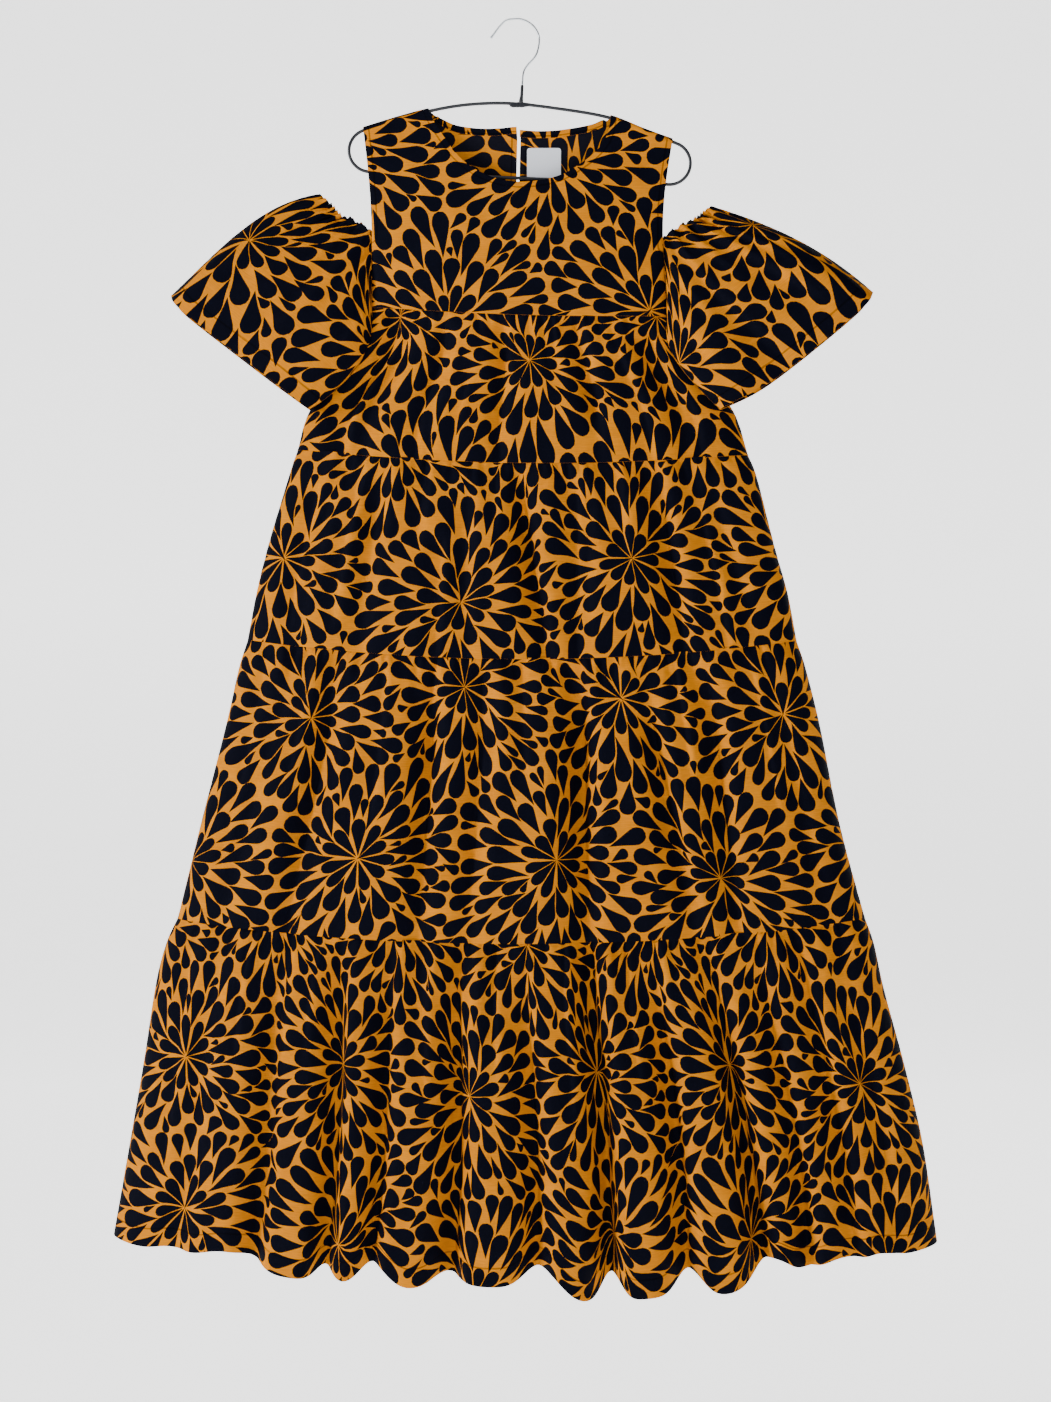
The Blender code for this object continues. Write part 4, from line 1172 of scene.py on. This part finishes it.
def sleeve_pieces(outlines, looks):
    pieces = {}
    for sleeve in (SLEEVE_LEFT, SLEEVE_RIGHT):
        def form(q, v, fine):
            return sleeve_shape(sleeve, q, v, fine)

        def grid(tables):
            places = both_edges(tables[2], SLEEVE_INSETS)
            places += [0.5 * tables[2] + shift for shift in SLEEVE_FOLD_COLUMNS]
            return (panel_bands(tables[2], SLEEVE_HEIGHT, SLEEVE_BANDS)
                    + panel_columns(0.0, SLEEVE_HEIGHT, places))

        name = f"sleeve_{sleeve['side']}"
        pieces[name] = straight_panel(
            name, form, 2.0, 0.0, SLEEVE_HEIGHT, grid, sleeve["print"],
            1.0 if sleeve["side"] == "left" else -1.0, SLEEVE_STITCHES, outlines, looks)
    return pieces


def yoke_across(column, z):
    share = (column - YOKE_LEFT) / (YOKE_RIGHT - YOKE_LEFT)
    return lerp(yoke_side("left", z), yoke_side("right", z), share)


def neck_curve(points):
    return curve_points(points, shares(6 * (len(points) - 1) + 1))


def neck_line(front):
    """Neck edge from the left shoulder to the right one."""
    side, table = ("front", NECK_FRONT) if front else ("back", NECK_BACK)
    middle = []
    for column in NECK_COLUMNS:
        z = float(spline(table, column)[1])
        middle.append((float(yoke_across(column, z)), z))
    left, right = list(NECK_CORNERS[side, "left"]), list(NECK_CORNERS[side, "right"])
    if front:
        return neck_curve(left + middle + right)
    split = NECK_COLUMNS.index(SLIT_LEFT) + 1
    lines = neck_curve(left + middle[:split]), neck_curve(middle[split:] + right)
    slit = []
    for column, heights in ((SLIT_LEFT, np.linspace(lines[0][-1][1], SLIT_END, 30)[1:]),
                            (SLIT_RIGHT, np.linspace(SLIT_END, lines[1][0][1], 30)[:-1])):
        slit.append(pairs(yoke_across(column, heights), heights))
    return np.vstack([lines[0], *slit, lines[1]])


def side_line(side, heights, inset=0.0):
    return pairs(yoke_side(side, heights) + inset, heights)


def yoke_pieces(outlines, looks):
    pieces = {}
    for front in (True, False):
        shoulder_left = np.arange(YOKE_LEFT, -104.0, 3.0)
        shoulder_right = np.append(np.arange(110.0, YOKE_RIGHT, 3.0)[1:], YOKE_RIGHT)
        tops = [pairs(xs, shoulder_height(xs)) for xs in (shoulder_left, shoulder_right)]
        stitch_groove = np.linspace(1.0, 0.0, 111)
        seam_z = seam_height(stitch_groove)
        bottom = pairs(lerp(yoke_side("left", seam_z), yoke_side("right", seam_z), stitch_groove), seam_z)
        right_edge = side_line("right", np.linspace(tops[1][-1, 1], bottom[0, 1], 66)[1:-1])
        left_edge = side_line("left", np.linspace(bottom[-1, 1], tops[0][0, 1], 66)[1:-1])
        neck = neck_line(front)
        outline = np.vstack([tops[0], neck, tops[1], right_edge, bottom, left_edge])
        xs = np.arange(YOKE_LEFT + 1.0, YOKE_RIGHT - 1.0, 3.0)
        rows = [pairs(xs, shoulder_height(xs) - drop) for drop in YOKE_ROWS]
        rows.append(staggered_grid((-178.0, -350.0), (180.0, -105.0), 5.0, 5.0))
        heights = np.arange(-348.0, -130.0, 4.0)
        for inset in YOKE_INSETS:
            rows += [side_line("left", heights, inset), side_line("right", heights, -inset)]
        low, high = outline.min(axis=0), outline.max(axis=0)
        drops = drops_over(outlines, low, high, (20.0, 610.0) if front else (430.0, 655.0))
        grid = np.vstack(rows)
        grid = grid[(grid > low + 0.3).all(axis=1) & (grid < high - 0.3).all(axis=1)]
        flat, triangles, printed = cut_cloth(outline, drops, grid)
        free = np.vstack([neck, right_edge[:40], left_edge[-40:]])

        def edge_distance(points):
            away = [np.sqrt(((points - p) ** 2).sum(axis=1)) for p in free]
            return np.min(away, axis=0) - YOKE_STITCHES

        name = "yoke_front" if front else "yoke_back"
        pieces[name] = cloth_piece(
            name + "_cloth", flat, triangles, printed, lambda points: yoke_shape(front, points),
            1.0 if front else -1.0, looks, edge_distance)
    return pieces


def inside_back(flat, clear):
    """Points just inside the back yoke."""
    x, z = flat[:, 0], flat[:, 1]
    return np.column_stack([x, yoke_out(False, x, z) - CLOTH - clear, z])


def facing_pieces(outlines, looks):
    pieces = {}
    for name, ends in (("neck_facing_left", (-94.0, SLIT_LEFT)),
                       ("neck_facing_right", (SLIT_RIGHT, 101.0))):
        xs = np.append(np.arange(ends[0], ends[1], 2.5), ends[1])
        top = spline(NECK_BACK, xs)[..., 1] - 0.4
        outline = np.vstack([pairs(xs, top),
                             pairs(xs, top - FACING_DEPTH)[::-1]])
        drops = drops_over(outlines, outline.min(axis=0), outline.max(axis=0), (260.0, 330.0))
        middle = pairs(xs[1:-1], top[1:-1] - 0.5 * FACING_DEPTH)
        flat, triangles, printed = cut_cloth(outline, drops, middle)
        pieces[name] = cloth_piece(name + "_cloth", flat, triangles, printed,
                                   lambda p: inside_back(p, 0.5), 1.0, looks,
                                   lambda p: spline(NECK_BACK, p[:, 0])[..., 1] - p[:, 1] - 6.0)
    return pieces


def label_piece(look):
    left, right, top, bottom = LABEL_EDGES
    outline, inset = [], LABEL_CORNER
    corners = ((right - inset, top - inset), (left + inset, top - inset),
               (left + inset, bottom + inset), (right - inset, bottom + inset))
    for turn, (x, z) in enumerate(corners):
        for i in range(7):
            angle = math.radians(90 * turn + 15.0 * i)
            outline.append((x + inset * math.cos(angle), z + inset * math.sin(angle)))
    inner = staggered_grid((left + 1.0, bottom + 1.0), (right - 1.0, top - 1.0), 2.4, 2.4)
    flat, triangles, printed = cut_cloth(np.array(outline), [], inner)

    def shape(points):
        placed = inside_back(points, 0.9)
        across = (points[:, 0] - left) / (right - left)
        down = (top - points[:, 1]) / (top - bottom)
        placed[:, 1] -= 0.7 * np.sin(math.pi * across) * smooth(down) + 0.25 * down
        return placed

    piece = cloth_piece("neck_label_cloth", flat, triangles, printed, shape, 1.0, [look] * 4,
                        lambda points: np.full(len(points), -NO_STITCHES))
    return piece


def wire(name, points, radii, look, around=5):
    curve = bpy.data.curves.new(name, "CURVE")
    curve.dimensions = "3D"
    curve.bevel_depth = MM
    curve.bevel_resolution = around
    curve.use_fill_caps = True
    line = curve.splines.new("POLY")
    line.points.add(len(points) - 1)
    for target, point, radius in zip(line.points, points, radii):
        target.co = (point[0] * MM, 0.0, point[1] * MM, 1.0)
        target.radius = radius
    line.use_smooth = True
    return add_piece(name, curve, [look])


def arm_height(x):
    return float(shoulder_height(x)) - WALL - 0.3 - WIRE_RADIUS - 0.2


def ear_points(centre, side):
    angles = [math.radians(lerp(62.0, -90.0, i / 32.0)) for i in range(33)]
    return [(centre[0] + side * EAR_RADIUS * math.cos(angle),
             centre[1] + EAR_RADIUS * math.sin(angle)) for angle in angles]


def rounded(share):
    """Turns a circle's sine or cosine into that of a rounded square."""
    return math.copysign(abs(share) ** 0.6, share)


def joint_piece(name, look):
    """Crimped sleeve with rounded section and two pressed grooves."""
    verts, sides = [], 16
    xs = np.linspace(JOINT_PROFILE[0][0], JOINT_PROFILE[-1][0], 40)
    for x, half in zip(xs, np.interp(xs, *zip(*JOINT_PROFILE))):
        groove = 0.3 * (math.exp(-((x + 1.5) / 0.8) ** 2) + math.exp(-((x - 3.0) / 0.8) ** 2))
        ends = min(1.0, (x - xs[0]) / 0.8 + 0.35, (xs[-1] - x) / 0.8 + 0.35)
        for i in range(sides):
            angle = math.tau * i / sides
            y = 0.5 * (JOINT_FRONT - JOINT_BACK) * rounded(math.cos(angle)) * ends
            z = half * rounded(math.sin(angle)) * ends
            verts.append((x * MM, (0.5 * (JOINT_FRONT + JOINT_BACK) + y * (1 - groove)) * MM,
                          (JOINT_HEIGHT + z * (1 - 0.3 * groove)) * MM))
    faces = []
    for k in range(0, len(verts) - sides, sides):
        for i in range(sides):
            j = (i + 1) % sides
            faces.append((k + i, k + j, k + sides + j, k + sides + i))
    faces.append(tuple(range(sides))[::-1])
    faces.append(tuple(range(len(verts) - sides, len(verts))))
    mesh = new_mesh(name, verts, faces)
    mesh.set_sharp_from_angle(angle=math.radians(50))
    return add_piece(name, mesh, [look])


def hanger_pieces(black, bright):
    """The hanger's pieces, each with the node that it replaces and its slot."""
    left_ear, right_ear = ear_points(EAR_LEFT, -1.0), ear_points(EAR_RIGHT, 1.0)
    arm = [(x, arm_height(x)) for x in np.linspace(-176.0, 178.0, 90)]
    line = left_ear[::-1] + arm + right_ear
    hook = curve_points(HOOK_LINE, shares(120))
    hook_radii = [HOOK_RADIUS + 0.55 * math.exp(-i / 2.5) for i in range(len(hook))]
    return [
        (wire("hanger_arm_wire", line, [SEEN_RADIUS] * len(line), black),
         "hanger_arm", "black_wire"),
        (wire("hanger_bar_wire", [left_ear[-1], right_ear[-1]], [SEEN_RADIUS] * 2, black),
         "hanger_bar", "black_wire"),
        (wire("hanger_hook_wire", hook, hook_radii, bright, 7), "hanger_hook", "bright_wire"),
        (wire("hanger_hook_sleeve", FERRULE, [r for _, _, r in FERRULE], black, 7),
         None, "black_wire"),
        (joint_piece("hanger_joint_crimp", black), "hanger_joint", "black_wire"),
    ]


def backdrop(look):
    """Wall and floor in one sweep."""
    profile = [(-12.0, -1.95)]
    profile += [(4.0 + 1.5 * math.sin(a), -0.45 - 1.5 * math.cos(a))
                for a in np.linspace(0.0, math.pi / 2, 17)]
    profile.append((5.5, 6.0))
    verts = [(x, y, z) for y, z in profile for x in (-8.0, 8.0)]
    faces = [(2 * i, 2 * i + 1, 2 * i + 3, 2 * i + 2) for i in range(len(profile) - 1)]
    add_piece("backdrop", new_mesh("backdrop", verts, faces), [look])


def studio():
    world = bpy.data.worlds.new("studio")
    world.use_nodes = True
    background = world.node_tree.nodes["Background"]
    background.inputs[0].default_value = (1.0, 1.0, 1.0, 1.0)
    background.inputs[1].default_value = WORLD_LIGHT
    bpy.context.scene.world = world
    for name, (place, aim, size, power) in LIGHTS.items():
        light = bpy.data.lights.new(name, "AREA")
        light.shape = "RECTANGLE"
        light.size, light.size_y = size
        light.energy = power
        lamp = add_piece(name, light)
        lamp.location = place
        lamp.rotation_euler = (Vector(aim) - Vector(place)).to_track_quat("-Z", "Y").to_euler()


def camera():
    data = bpy.data.cameras.new("camera")
    data.sensor_width = 36.0
    data.lens = 36.0 * CAMERA_DISTANCE / (IMAGE_LONG_SIDE * PIXEL)
    lens = add_piece("camera", data)
    lens.location = (CAMERA_ACROSS, -CAMERA_DISTANCE, CAMERA_HEIGHT)
    lens.rotation_euler = (math.radians(90.0), 0.0, 0.0)
    bpy.context.scene.camera = lens


def main():
    camera()
    studio()
    looks = [cotton(name, *values) for name, values in COTTONS.items()]
    black = metal("black_coating", (0.012, 0.014, 0.02), 0.1, 0.38, 700.0)
    bright = metal("bright_plating", (0.62, 0.66, 0.70), 1.0, 0.3, 500.0)
    outlines = [drop_outline(drop) for drop in Layout(PRINT_SEED).run()]
    rows = []
    for make in (yoke_pieces, tier_pieces, sleeve_pieces, facing_pieces):
        rows += [(piece, name, "printed_cotton") for name, piece in make(outlines, looks).items()]
    rows.append((label_piece(satin("label_satin_weave", (0.80, 0.83, 0.90))),
                 "neck_label", "label_satin"))
    rows += hanger_pieces(black, bright)
    for piece, node, slot in rows:
        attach(piece, "root")
        if node:
            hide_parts(node)
    backdrop(paper("backdrop_paper"))


main()
